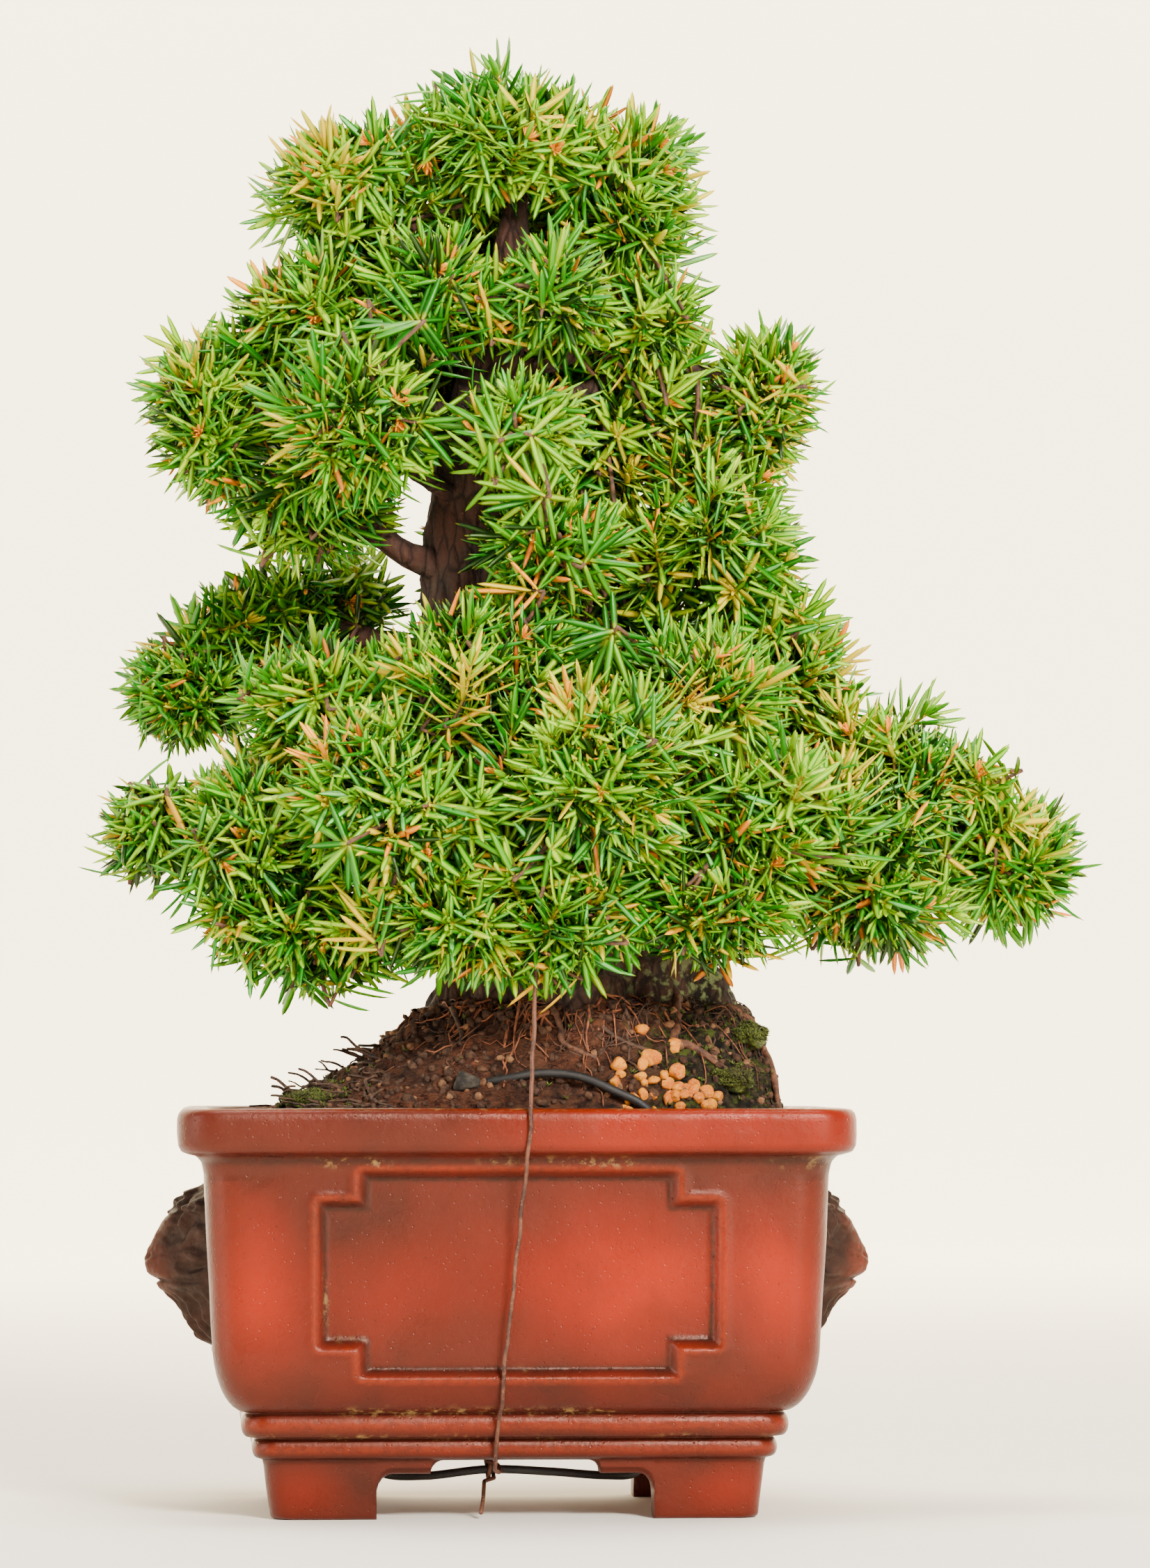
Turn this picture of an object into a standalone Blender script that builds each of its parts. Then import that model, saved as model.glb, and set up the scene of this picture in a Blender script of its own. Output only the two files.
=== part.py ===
"""A needle-leaved conifer trained as a bonsai, in a footed rectangular clay pot with a mask on each end.

Everything is in metres with +Z up. The pot's front faces -Y. The parts are modelled about the middle of
the pot's base, and the whole model is then moved so that its origin is the middle of its footprint.
"""

import math

import bmesh
import bpy
from mathutils import Matrix, Vector, noise
from mathutils.bvhtree import BVHTree

MM = 0.001
GAP = 0.3 * MM  # air kept between pieces that touch
SIDES = {-1: "left", 1: "right"}

# Pot
RIM_LENGTH = 140 * MM
RIM_DEPTH = 108 * MM
POT_HEIGHT = 85 * MM
RIM_BOTTOM = 75.6 * MM
RIM_CORNER = 9 * MM
CORNER_STEPS = 5
WALL_TOP_INSET = 5.4 * MM
WALL_FOOT_INSET = 7.2 * MM
WALL_FOOT_HEIGHT = 37 * MM
BELLY_FOOT_INSET = 14.2 * MM
BELLY_FOOT_HEIGHT = 22.3 * MM
UPPER_BEAD = (17.2 * MM, 22.2 * MM, 15.4 * MM, 2.2 * MM)  # bottom, top, inset, bulge
LOWER_BEAD = (12.8 * MM, 17.0 * MM, 17.4 * MM, 1.9 * MM)
FOOT_TOP_INSET = 17.8 * MM
FOOT_BOTTOM_INSET = 19.2 * MM
FOOT_ROUND = 1.2 * MM
FLOOR_TOP = 20 * MM
FLOOR_BOTTOM = 14 * MM
FLOOR_INSET = 24 * MM
BRACKET_WALL = 9 * MM  # thickness of the feet and of the apron between them
PANEL_BOTTOM = 30.6 * MM
PANEL_TOP = 71.4 * MM
PANEL_NOTCH = (8.6 * MM, 6 * MM)
PANEL_RECESS = 1.5 * MM
FRONT_PANEL_HALF = 40.6 * MM
END_PANEL_HALF = 28 * MM
FRONT_ARCH = (28.8 * MM, 25.4 * MM, 17.6 * MM, 14.8 * MM)  # foot, cusp, step and crown half widths
END_ARCH = (17.4 * MM, 14.4 * MM, 9.6 * MM, 7.4 * MM)
ARCH_CUSP_HEIGHT = 9.4 * MM
ARCH_CROWN_HEIGHT = 12.2 * MM
DRAIN_X = 30 * MM
DRAIN_RADIUS = 6.5 * MM

# What lies in the pot
SCREEN_SIDE = 18 * MM
SCREEN_CELLS = 7
SCREEN_THICKNESS = 0.8 * MM
CLIP_RADIUS = 0.5 * MM
SOIL_TOP = 80.2 * MM
SOIL_TOP_INSET = 7.2 * MM

# Wires
ANCHOR_RADIUS = 0.9 * MM
GUY_RADIUS = 0.45 * MM


def mm(*values):
    return Vector([value * MM for value in values])


def start_afresh():
    for item in list(bpy.data.objects):
        bpy.data.objects.remove(item, do_unlink=True)
    made = {}
    for name in ("bonsai", "cutters"):
        made[name] = bpy.data.collections.new(name)
        bpy.context.scene.collection.children.link(made[name])
    made["cutters"].hide_render = True
    return made


COLLECTIONS = start_afresh()


def finish(name, colour, roughness):
    material = bpy.data.materials.new(name)
    material.use_nodes = True
    shader = material.node_tree.nodes["Principled BSDF"]
    shader.inputs["Base Color"].default_value = (*colour, 1.0)
    shader.inputs["Roughness"].default_value = roughness
    shader.inputs["Metallic"].default_value = 0.0
    return material


FINISHES = {
    "clay": finish("burnished_clay", (0.34, 0.085, 0.045), 0.38),
    "mask": finish("dark_clay", (0.10, 0.045, 0.035), 0.5),
    "bark": finish("bark", (0.09, 0.05, 0.035), 0.9),
    "roots": finish("root_fibre", (0.16, 0.06, 0.035), 0.95),
    "soil": finish("soil", (0.05, 0.035, 0.025), 1.0),
    "needles": finish("needles", (0.12, 0.27, 0.05), 0.5),
    "moss": finish("moss", (0.09, 0.16, 0.02), 0.95),
    "grain": finish("akadama_clay", (0.72, 0.36, 0.10), 0.9),
    "stone": finish("dark_stone", (0.08, 0.08, 0.075), 0.8),
    "screen": finish("screen_plastic", (0.03, 0.03, 0.03), 0.6),
    "anchor_wire": finish("black_wire", (0.02, 0.02, 0.022), 0.4),
    "guy_wire": finish("rusty_wire", (0.12, 0.05, 0.03), 0.6),
}


def add_mesh(name, shape, role, smooth=True):
    """Turns a bmesh into an object: a part with the finish of its role, or a cutter."""
    bmesh.ops.recalc_face_normals(shape, faces=shape.faces)
    mesh = bpy.data.meshes.new(name)
    shape.to_mesh(mesh)
    shape.free()
    item = bpy.data.objects.new(name, mesh)
    place(item, role)
    if smooth:
        mesh.shade_smooth()
        mesh.set_sharp_from_angle(angle=math.radians(40))
    return item


def place(item, role):
    if role == "cutter":
        COLLECTIONS["cutters"].objects.link(item)
        item.hide_render = True
        item.display_type = "WIRE"
        return
    COLLECTIONS["bonsai"].objects.link(item)
    item.data.materials.append(FINISHES[role])


def as_mesh(item, role):
    """Replaces a curve, or a mesh with modifiers, by the closed mesh that it evaluates to."""
    bpy.context.view_layer.update()
    evaluated = item.evaluated_get(bpy.context.evaluated_depsgraph_get())
    mesh = bpy.data.meshes.new_from_object(evaluated)
    shape = bmesh.new()
    shape.from_mesh(mesh)
    bmesh.ops.remove_doubles(shape, verts=shape.verts, dist=0.001 * MM)
    bpy.data.meshes.remove(mesh)
    name, world = item.name, item.matrix_world.copy()
    bpy.data.objects.remove(item, do_unlink=True)
    solid = add_mesh(name, shape, role)
    solid.matrix_world = world
    return solid


def cut(item, cutter, operation="DIFFERENCE"):
    modifier = item.modifiers.new(operation.lower() + "_" + cutter.name, "BOOLEAN")
    modifier.object = cutter
    modifier.operation = operation
    modifier.solver = "EXACT"


def loft(rings):
    """A closed skin through rings of equally many points, capped at the first and the last."""
    shape = bmesh.new()
    rows = [[shape.verts.new(point) for point in ring] for ring in rings]
    count = len(rows[0])
    for low, high in zip(rows, rows[1:]):
        for k in range(count):
            n = (k + 1) % count
            shape.faces.new((low[k], low[n], high[n], high[k]))
    shape.faces.new(rows[0][::-1])
    shape.faces.new(rows[-1])
    return shape


def smooth_route(points, per_span):
    """Points along a Catmull-Rom curve through the given ones."""
    path = [points[0], *points, points[-1]]
    route = []
    for a, b, c, d in zip(path, path[1:], path[2:], path[3:]):
        for k in range(per_span):
            t = k / per_span
            bend = (2 * a - 5 * b + 4 * c - d) * t**2 + (3 * b - a - 3 * c + d) * t**3
            route.append(0.5 * (2 * b + (c - a) * t + bend))
    return route + [points[-1]]


def tube(name, route, radii, role, resolution=2):
    """A round bar along a route, closed at both ends; radii is one radius, or one for each point."""
    if not isinstance(radii, (list, tuple)):
        radii = [radii] * len(route)
    curve = bpy.data.curves.new(name, "CURVE")
    curve.dimensions = "3D"
    curve.fill_mode = "FULL"
    curve.bevel_depth = 1.0
    curve.bevel_resolution = resolution
    curve.use_fill_caps = True
    spline = curve.splines.new("POLY")
    spline.points.add(len(route) - 1)
    for point, place_at, radius in zip(spline.points, route, radii):
        point.co = (*place_at, 1.0)
        point.radius = radius
    item = bpy.data.objects.new(name, curve)
    COLLECTIONS["cutters"].objects.link(item)
    return as_mesh(item, role)


def prism(name, outline, half_thickness, turn, shift):
    """A flat outline in XY, thickened along Z, then turned and shifted: a cutter."""
    curve = bpy.data.curves.new(name, "CURVE")
    curve.dimensions = "2D"
    curve.fill_mode = "BOTH"
    curve.extrude = half_thickness
    spline = curve.splines.new("POLY")
    spline.points.add(len(outline) - 1)
    for point, (x, y) in zip(spline.points, outline):
        point.co = (x, y, 0.0, 1.0)
    spline.use_cyclic_u = True
    item = bpy.data.objects.new(name, curve)
    COLLECTIONS["cutters"].objects.link(item)
    item.matrix_world = Matrix.Translation(shift) @ turn
    return as_mesh(item, "cutter")


# --- The pot ---

FACING_FRONT = Matrix.Rotation(math.radians(90), 4, "X")
FACING_END = Matrix.Rotation(math.radians(90), 4, "Z") @ FACING_FRONT


def rounded_rectangle(half_x, half_y, radius, height):
    ring = []
    for corner, (sign_x, sign_y) in enumerate(((1, 1), (-1, 1), (-1, -1), (1, -1))):
        for k in range(CORNER_STEPS + 1):
            angle = math.radians(90) * (corner + k / CORNER_STEPS)
            x = sign_x * (half_x - radius) + radius * math.cos(angle)
            y = sign_y * (half_y - radius) + radius * math.sin(angle)
            ring.append(Vector((x, y, height)))
    return ring


def pot_ring(inset, height, gap=0.0):
    inset += gap
    radius = max(RIM_CORNER - 0.25 * inset, 3 * MM)
    return rounded_rectangle(RIM_LENGTH / 2 - inset, RIM_DEPTH / 2 - inset, radius, height)


def bead(bottom, top, inset, bulge, steps=5):
    """A half-round moulding: (inset, height) from its bottom to its top."""
    points = []
    for k in range(steps + 1):
        angle = math.radians(180) * k / steps
        height = (bottom + top) / 2 - (top - bottom) / 2 * math.cos(angle)
        points.append((inset - bulge * math.sin(angle), height))
    return points


def belly(steps=5):
    """The quarter turn that carries the wall in to the upper bead."""
    points = []
    for k in range(steps + 1):
        angle = math.radians(90) * (1 - k / steps)
        inset = BELLY_FOOT_INSET - (BELLY_FOOT_INSET - WALL_FOOT_INSET) * math.cos(angle)
        height = WALL_FOOT_HEIGHT - (WALL_FOOT_HEIGHT - BELLY_FOOT_HEIGHT) * math.sin(angle)
        points.append((inset, height))
    return points


def outer_profile():
    return [
        (FOOT_BOTTOM_INSET + FOOT_ROUND, 0.0),
        (FOOT_BOTTOM_INSET + 0.3 * FOOT_ROUND, 0.3 * FOOT_ROUND),
        (FOOT_BOTTOM_INSET, FOOT_ROUND),
        (FOOT_TOP_INSET, LOWER_BEAD[0] - 0.4 * MM),
        *bead(*LOWER_BEAD),
        *bead(*UPPER_BEAD),
        *belly(),
        (WALL_TOP_INSET + 0.6 * MM, 58 * MM),
        (WALL_TOP_INSET, RIM_BOTTOM - 4 * MM),
        (WALL_TOP_INSET - 1.0 * MM, RIM_BOTTOM - 1 * MM),
        (2.2 * MM, RIM_BOTTOM),
        (0.7 * MM, RIM_BOTTOM + 0.8 * MM),
        (0.1 * MM, RIM_BOTTOM + 2.4 * MM),
        (0.0, POT_HEIGHT - 2 * MM),
        (0.5 * MM, POT_HEIGHT - 0.6 * MM),
        (1.6 * MM, POT_HEIGHT),
    ]


def inner_profile():
    return [
        (5.2 * MM, POT_HEIGHT),
        (6.2 * MM, POT_HEIGHT - 0.7 * MM),
        (6.8 * MM, POT_HEIGHT - 3 * MM),
        (WALL_TOP_INSET + 5.4 * MM, RIM_BOTTOM - 4 * MM),
        (WALL_FOOT_INSET + 6 * MM, WALL_FOOT_HEIGHT),
        (WALL_FOOT_INSET + 9 * MM, 28 * MM),
        (FLOOR_INSET - 2.6 * MM, FLOOR_TOP + 1.8 * MM),
        (FLOOR_INSET + 1 * MM, FLOOR_TOP),
    ]


def quarter(centre_x, centre_y, radius_x, radius_y, start, steps=4):
    points = []
    for k in range(steps + 1):
        angle = math.radians(start + 90 * k / steps)
        points.append((centre_x + radius_x * math.cos(angle), centre_y + radius_y * math.sin(angle)))
    return points


def arch_outline(foot, cusp, step, crown):
    """The opening between two feet: hollow corners, a flat step each side, and a flat crown."""
    foot_rise = 4.2 * MM
    right = [(foot, -1 * MM), (foot, ARCH_CUSP_HEIGHT - foot_rise)]
    right += quarter(cusp, ARCH_CUSP_HEIGHT - foot_rise, foot - cusp, foot_rise, 0)[1:]
    right += [(step, ARCH_CUSP_HEIGHT)]
    right += quarter(crown, ARCH_CUSP_HEIGHT, step - crown, ARCH_CROWN_HEIGHT - ARCH_CUSP_HEIGHT, 0)[1:]
    return right + [(-x, y) for x, y in reversed(right)]


def panel_outline(half):
    """A sunk panel with a square notch in each corner."""
    notch_x, notch_y = PANEL_NOTCH
    low, high = PANEL_BOTTOM, PANEL_TOP
    right = [
        (half - notch_x, low),
        (half - notch_x, low + notch_y),
        (half, low + notch_y),
        (half, high - notch_y),
        (half - notch_x, high - notch_y),
        (half - notch_x, high),
    ]
    return right + [(-x, y) for x, y in reversed(right)]


def panel_cutter(name, half, turn, shift, core):
    cutter = prism(name, panel_outline(half), 9 * MM, turn, shift)
    cut(cutter, core)
    return cutter


def make_pot():
    outer = [pot_ring(*point) for point in outer_profile()]
    inner = [pot_ring(*point) for point in inner_profile()]
    pot = add_mesh("pot", loft(outer + inner), "clay")

    core_rings = [pot_ring(inset, height, PANEL_RECESS) for inset, height in outer_profile()]
    core = add_mesh("panel_floor", loft(core_rings), "cutter")
    front, end = RIM_DEPTH / 2 - WALL_TOP_INSET, RIM_LENGTH / 2 - WALL_TOP_INSET
    cut(pot, panel_cutter("front_panel", FRONT_PANEL_HALF, FACING_FRONT, (0, -front, 0), core))
    cut(pot, panel_cutter("back_panel", FRONT_PANEL_HALF, FACING_FRONT, (0, front, 0), core))
    cut(pot, panel_cutter("left_panel", END_PANEL_HALF, FACING_END, (-end, 0, 0), core))
    cut(pot, panel_cutter("right_panel", END_PANEL_HALF, FACING_END, (end, 0, 0), core))

    hollow_x = RIM_LENGTH / 2 - FOOT_BOTTOM_INSET - BRACKET_WALL
    hollow_y = RIM_DEPTH / 2 - FOOT_BOTTOM_INSET - BRACKET_WALL
    hollow = [rounded_rectangle(hollow_x, hollow_y, 4 * MM, z) for z in (-1 * MM, FLOOR_BOTTOM)]
    cut(pot, add_mesh("underside_hollow", loft(hollow), "cutter"))
    cut(pot, prism("front_arch", arch_outline(*FRONT_ARCH), RIM_DEPTH, FACING_FRONT, (0, 0, 0)))
    cut(pot, prism("end_arch", arch_outline(*END_ARCH), RIM_LENGTH, FACING_END, (0, 0, 0)))
    for side in (-1, 1):
        shape = bmesh.new()
        bmesh.ops.create_cone(
            shape, cap_ends=True, segments=20, radius1=DRAIN_RADIUS, radius2=DRAIN_RADIUS, depth=20 * MM
        )
        bmesh.ops.translate(shape, verts=shape.verts, vec=(side * DRAIN_X, 0, FLOOR_TOP))
        cut(pot, add_mesh("drain_hole_" + SIDES[side], shape, "cutter"))
    return pot


# Height, reach out from the wall, half width at the wall and at the front of each level of a mask.
MASK_LEVELS = (
    (34.0, 2.2, 3.0, 1.6),
    (36.0, 4.8, 5.0, 2.6),
    (40.0, 6.8, 7.2, 3.2),
    (43.6, 9.0, 8.6, 3.8),
    (46.6, 12.2, 9.6, 4.6),
    (50.0, 15.0, 10.4, 5.2),
    (53.0, 15.4, 11.0, 5.0),
    (57.0, 14.0, 11.4, 4.4),
    (60.5, 11.4, 11.6, 5.0),
    (64.0, 8.6, 11.2, 6.2),
    (67.0, 6.0, 9.2, 5.4),
    (68.6, 3.6, 6.0, 3.6),
)
MASK_STEPS = 8


def end_wall(height):
    """How far the floor of the end panel stands from the pot's middle, at a height."""
    rise = (height - WALL_FOOT_HEIGHT) / (RIM_BOTTOM - 4 * MM - WALL_FOOT_HEIGHT)
    inset = WALL_FOOT_INSET + (WALL_TOP_INSET - WALL_FOOT_INSET) * max(0.0, rise)
    return RIM_LENGTH / 2 - inset - PANEL_RECESS


def make_mask(side):
    """A beast's head in profile: brow, long muzzle, chin and a beard that runs down to a point."""
    rings = []
    for height, reach_out, half_back, half_front in MASK_LEVELS:
        back = end_wall(height * MM) + 2 * GAP
        ring = []
        for k in range(MASK_STEPS + 1):
            turn = math.radians(180) * (k / MASK_STEPS - 0.5)
            half = half_front + (half_back - half_front) * abs(math.sin(turn)) ** 3
            out = reach_out * MM * math.cos(turn) ** 0.8 if 0 < k < MASK_STEPS else 0.0
            ring.append(Vector((side * (back + out), half * MM * math.sin(turn), height * MM)))
        rings.append(ring)
    return add_mesh("lion_mask_" + SIDES[side], loft(rings), "mask")


# --- Screens and clips over the drain holes ---


def make_screen(side):
    """A square of plastic mesh: a grid with every second cell of every second row left open."""
    shape = bmesh.new()
    bmesh.ops.create_grid(shape, x_segments=SCREEN_CELLS, y_segments=SCREEN_CELLS, size=SCREEN_SIDE / 2)
    cell = SCREEN_SIDE / SCREEN_CELLS
    open_cells = []
    for face in shape.faces:
        centre = face.calc_center_median()
        column = round((centre.x + SCREEN_SIDE / 2) / cell - 0.5)
        row = round((centre.y + SCREEN_SIDE / 2) / cell - 0.5)
        if column % 2 and row % 2:
            open_cells.append(face)
    bmesh.ops.delete(shape, geom=open_cells, context="FACES")
    bmesh.ops.translate(shape, verts=shape.verts, vec=(side * DRAIN_X, 0, FLOOR_TOP + GAP))
    screen = add_mesh("drain_screen_" + SIDES[side], shape, "screen", smooth=False)
    thickness = screen.modifiers.new("thickness", "SOLIDIFY")
    thickness.thickness = SCREEN_THICKNESS
    thickness.offset = 1.0
    return screen


def clip_route(side):
    """A staple that bows round the anchor wire; its legs go down the hole and turn out below the floor."""
    leg = 2 * SCREEN_SIDE / SCREEN_CELLS
    top = FLOOR_TOP + SCREEN_THICKNESS + 2 * GAP + CLIP_RADIUS
    under = FLOOR_BOTTOM - GAP - CLIP_RADIUS
    bow = ANCHOR_RADIUS + CLIP_RADIUS + 2.5 * GAP
    half = [
        (bow, 1.6 * MM, top),
        (0.5 * MM, leg - 1.0 * MM, top),
        (0, leg - 0.2 * MM, top - 0.5 * MM),
        (0, leg, top - 1.4 * MM),
        (0, leg, under + 0.8 * MM),
        (0, leg + 0.5 * MM, under),
        (0, leg + 3.4 * MM, under),
    ]
    whole = [(x, -y, z) for x, y, z in reversed(half)] + half
    return [Vector((side * DRAIN_X + x, y, z)) for x, y, z in whole]


# --- The tree: trunk, main roots and branches, one grown piece ---

TRUNK_SIDES = 14
# Centre x and y, height, half width and half depth, in millimetres.
TRUNK = (
    (16.5, 3, 62, 25, 22),
    (17.0, 3, 78, 32, 27),
    (16.0, 3, 90, 34, 28),
    (15.5, 3, 100, 32.5, 26.5),
    (15.5, 3, 112, 29, 24),
    (11.5, 3, 130, 23.5, 20.5),
    (6.0, 3, 150, 19, 17.5),
    (1.0, 3, 170, 16.5, 15),
    (-4.0, 2, 190, 14, 12.5),
    (-6.5, 1, 210, 11, 10),
    (-6.0, 0, 228, 8.5, 8),
    (-3.5, 0, 245, 6.5, 6.2),
    (0.0, 0, 262, 4.6, 4.4),
    (1.5, 0, 278, 2.8, 2.8),
    (2.0, 0, 288, 1.4, 1.4),
)

# Each main root leaves the trunk's foot and goes down into the soil: its points, then its thickest radius.
ROOTS = (
    (((-6, -6, 84), (-22, -12, 72), (-36, -16, 52), (-42, -10, 36)), 6.0),
    (((0, 14, 84), (-18, 26, 68), (-30, 30, 48)), 5.5),
    (((30, -12, 82), (42, -22, 66), (46, -26, 46)), 6.0),
    (((34, 14, 82), (46, 24, 64), (50, 26, 44)), 5.5),
    (((14, -16, 80), (14, -30, 62), (10, -34, 42)), 5.0),
    (((16, 4, 66), (12, 6, 46), (6, 4, 32)), 9.0),
)

# Name, centre, half sizes and roll to the right, in millimetres and degrees; then its branch: the points
# it takes on its way out from the trunk or from another branch, and its thickest radius.
PADS = (
    ("crown_top", (-1, 0, 291), (25, 22, 16), 0,
     ((2, 0, 284), (0, 0, 291)), 1.6),
    ("crown_left", (-35, -4, 284), (17, 17, 12.5), -8,
     ((0, 0, 262), (-16, -2, 271), (-34, -4, 283)), 2.6),
    ("crown_right", (27, 2, 279), (15, 18, 21), 8,
     ((0, 0, 260), (12, 1, 268), (26, 2, 278)), 2.6),
    ("crown_right_low", (29, -4, 253), (13, 13, 10), 0,
     ((-4, 0, 242), (12, -2, 246), (28, -4, 253)), 2.4),
    ("crown_front", (8, -20, 257), (13, 9.5, 12), 0,
     ((-3, -2, 246), (2, -10, 250), (8, -20, 256)), 2.2),
    ("crown_back", (2, 26, 274), (24, 13, 17), 0,
     ((-1, 2, 256), (0, 12, 263), (2, 25, 273)), 2.4),
    ("upper_left_shoulder", (-43, -4, 256), (23, 19, 13), -22,
     ((-7, 0, 226), (-22, -2, 240), (-42, -4, 255)), 3.2),
    ("upper_left_outer", (-65, -2, 233), (13, 17, 18), -10,
     ((-24, -2, 240), (-44, -3, 236), (-64, -3, 233)), 2.4),
    ("upper_left_front", (-34, -25, 229), (19, 13, 17), 0,
     ((-8, -2, 214), (-20, -12, 220), (-33, -24, 228)), 2.8),
    ("upper_left_low", (-42, -4, 213), (18, 16, 9), -6,
     ((-6, 0, 196), (-24, -2, 205), (-41, -4, 213)), 4.2),
    ("upper_left_inner", (-17, -19, 259), (11, 10.5, 11), 0,
     ((-5, -2, 240), (-10, -9, 248), (-16, -18, 258)), 2.0),
    ("upper_left_back", (-41, 25, 240), (22, 13, 20), 0,
     ((-8, 2, 218), (-22, 12, 228), (-40, 24, 240)), 2.8),
    ("right_upper", (54, 2, 235), (12, 12, 19), 12,
     ((-5, 0, 232), (20, 1, 240), (38, 1, 243), (53, 2, 240)), 2.8),
    ("right_upper_inner", (33, 16, 234), (14, 13, 12), 0,
     ((-6, 2, 224), (12, 10, 229), (32, 16, 234)), 2.4),
    ("centre_front", (2, -27, 228), (13, 10, 10.5), 0,
     ((-7, -3, 215), (-3, -14, 221), (2, -26, 228)), 2.2),
    ("centre_low", (8, -26, 203), (17, 11, 12), 0,
     ((-5, -4, 190), (0, -14, 196), (7, -25, 203)), 2.8),
    ("right_mid", (41, -6, 208), (18, 16, 14), 6,
     ((-5, 0, 200), (16, -3, 203), (40, -6, 208)), 3.0),
    ("mid_back", (10, 36, 206), (26, 15, 20), 0,
     ((-4, 6, 188), (2, 18, 196), (9, 34, 206)), 3.0),
    ("back_left", (-46, 34, 194), (23, 17, 11), -6,
     ((-4, 8, 172), (-22, 20, 184), (-45, 33, 194)), 4.0),
    ("back_left_outer", (-69, 30, 176), (14, 15, 13), -14,
     ((-24, 21, 184), (-46, 27, 181), (-68, 30, 176)), 2.4),
    ("skirt_top", (-8, -31, 180), (23, 13, 11), 0,
     ((-1, -8, 166), (-4, -18, 172), (-8, -30, 180)), 3.0),
    ("skirt_top_left", (-39, -20, 171), (18, 16, 12), 0,
     ((0, -2, 158), (-18, -10, 165), (-38, -20, 171)), 3.2),
    ("skirt_left", (-52, -17, 146), (18, 19, 16), 0,
     ((4, -2, 142), (-24, -9, 147), (-51, -17, 147)), 4.2),
    ("skirt_left_tip", (-75, -8, 143), (12.5, 13, 9), 8,
     ((-26, -9, 147), (-54, -9, 143), (-75, -8, 143)), 2.0),
    ("skirt_left_low", (-42, -26, 121), (22, 17, 9), 4,
     ((4, -8, 130), (-18, -17, 127), (-41, -26, 121)), 3.2),
    ("skirt_front_left", (-23, -46, 146), (19, 14, 18), 0,
     ((4, -8, 148), (-8, -26, 149), (-22, -45, 146)), 3.4),
    ("skirt_front", (12, -50, 151), (20, 15, 21), 0,
     ((6, -8, 152), (9, -28, 154), (12, -49, 151)), 3.6),
    ("skirt_front_low", (0, -43, 121), (21, 14, 10.5), 0,
     ((10, -14, 124), (5, -29, 126), (0, -43, 121)), 2.8),
    ("skirt_front_right", (46, -38, 142), (18, 16, 20), 0,
     ((12, -6, 138), (28, -22, 143), (45, -37, 142)), 3.6),
    ("skirt_mid_right", (36, -23, 174), (17, 15, 13), 0,
     ((4, -4, 160), (18, -13, 168), (35, -22, 174)), 3.2),
    ("skirt_top_right", (59, 4, 179), (18, 17, 14), 20,
     ((2, 2, 162), (28, 3, 172), (58, 4, 179)), 3.6),
    ("skirt_right", (84, -4, 156), (20, 19, 14.5), 14,
     ((10, 0, 142), (44, -2, 154), (83, -4, 156)), 4.6),
    ("skirt_right_tip", (109, -2, 138), (14.5, 15, 15.5), 12,
     ((60, -3, 155), (88, -3, 146), (108, -2, 139)), 2.6),
    ("skirt_right_low", (75, -16, 128), (20, 17, 10.5), 8,
     ((14, -4, 128), (44, -11, 133), (74, -16, 129)), 3.6),
    ("skirt_back_left", (-32, 38, 150), (25, 17, 17), 0,
     ((6, 8, 140), (-12, 24, 147), (-31, 37, 150)), 3.6),
    ("skirt_back", (28, 50, 150), (28, 17, 19), 0,
     ((10, 10, 138), (18, 28, 146), (28, 48, 150)), 3.8),
)

# The cushions are this much fuller than their listed sizes, and stop at a plane where two of them meet.
PAD_FULLNESS = 1.16


def trunk_ring(x, y, height, half_x, half_y, clearance):
    """An oval, drawn in between the root buttresses; the folds fade out as the trunk rises."""
    folds = 0.10 * max(0.0, 1 - (height - 62) / 130)
    ring = []
    for k in range(TRUNK_SIDES):
        angle = math.radians(360) * k / TRUNK_SIDES
        swell = 1 + folds * math.cos(4 * angle + 0.8)
        ring.append(
            mm(
                x + (half_x * swell + clearance) * math.cos(angle),
                y + (half_y * swell + clearance) * math.sin(angle),
                height,
            )
        )
    return ring


def tree_wood(name, role, clearance=0.0):
    """The trunk with its roots and branches joined on; clearance, in millimetres, fattens all of it."""
    rings = [trunk_ring(*level, clearance) for level in TRUNK]
    rings[0] = [point - mm(0, 0, clearance) for point in rings[0]]
    wood = add_mesh(name, loft(rings), role)
    limbs = [(mm_route(points), thick) for points, thick in ROOTS]
    limbs += [(mm_route(pad[4]), pad[5]) for pad in PADS[1:]]
    for points, thick in limbs:
        route = smooth_route(points, 2)
        if clearance:
            route[-1] = route[-1] + (route[-1] - route[-2]).normalized() * clearance * MM
        last = len(route) - 1
        radii = [(thick * (1 - 0.62 * k / last) + clearance) * MM for k in range(last + 1)]
        limb = tube("limb", route, radii, "cutter", resolution=1)
        cut(wood, limb, "UNION")
        wood = as_mesh(wood, role)
        bpy.data.objects.remove(limb, do_unlink=True)
    return wood


def mm_route(points):
    return [mm(*point) for point in points]


# --- The foliage pads ---


def pad_shape(centre, sizes, roll, seed):
    """A lumpy cushion of needles."""
    shape = bmesh.new()
    bmesh.ops.create_uvsphere(shape, u_segments=10, v_segments=7, radius=PAD_FULLNESS)
    for vertex in shape.verts:
        lump = noise.noise(vertex.co * 1.7 + Vector((seed, 0, 0)))
        vertex.co *= 1 + 0.14 * lump
    scale = Matrix.Diagonal((*mm(*sizes), 1))
    tilt = Matrix.Rotation(math.radians(roll), 4, "Y")
    bmesh.ops.transform(shape, matrix=Matrix.Translation(mm(*centre)) @ tilt @ scale, verts=shape.verts)
    return shape


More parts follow.
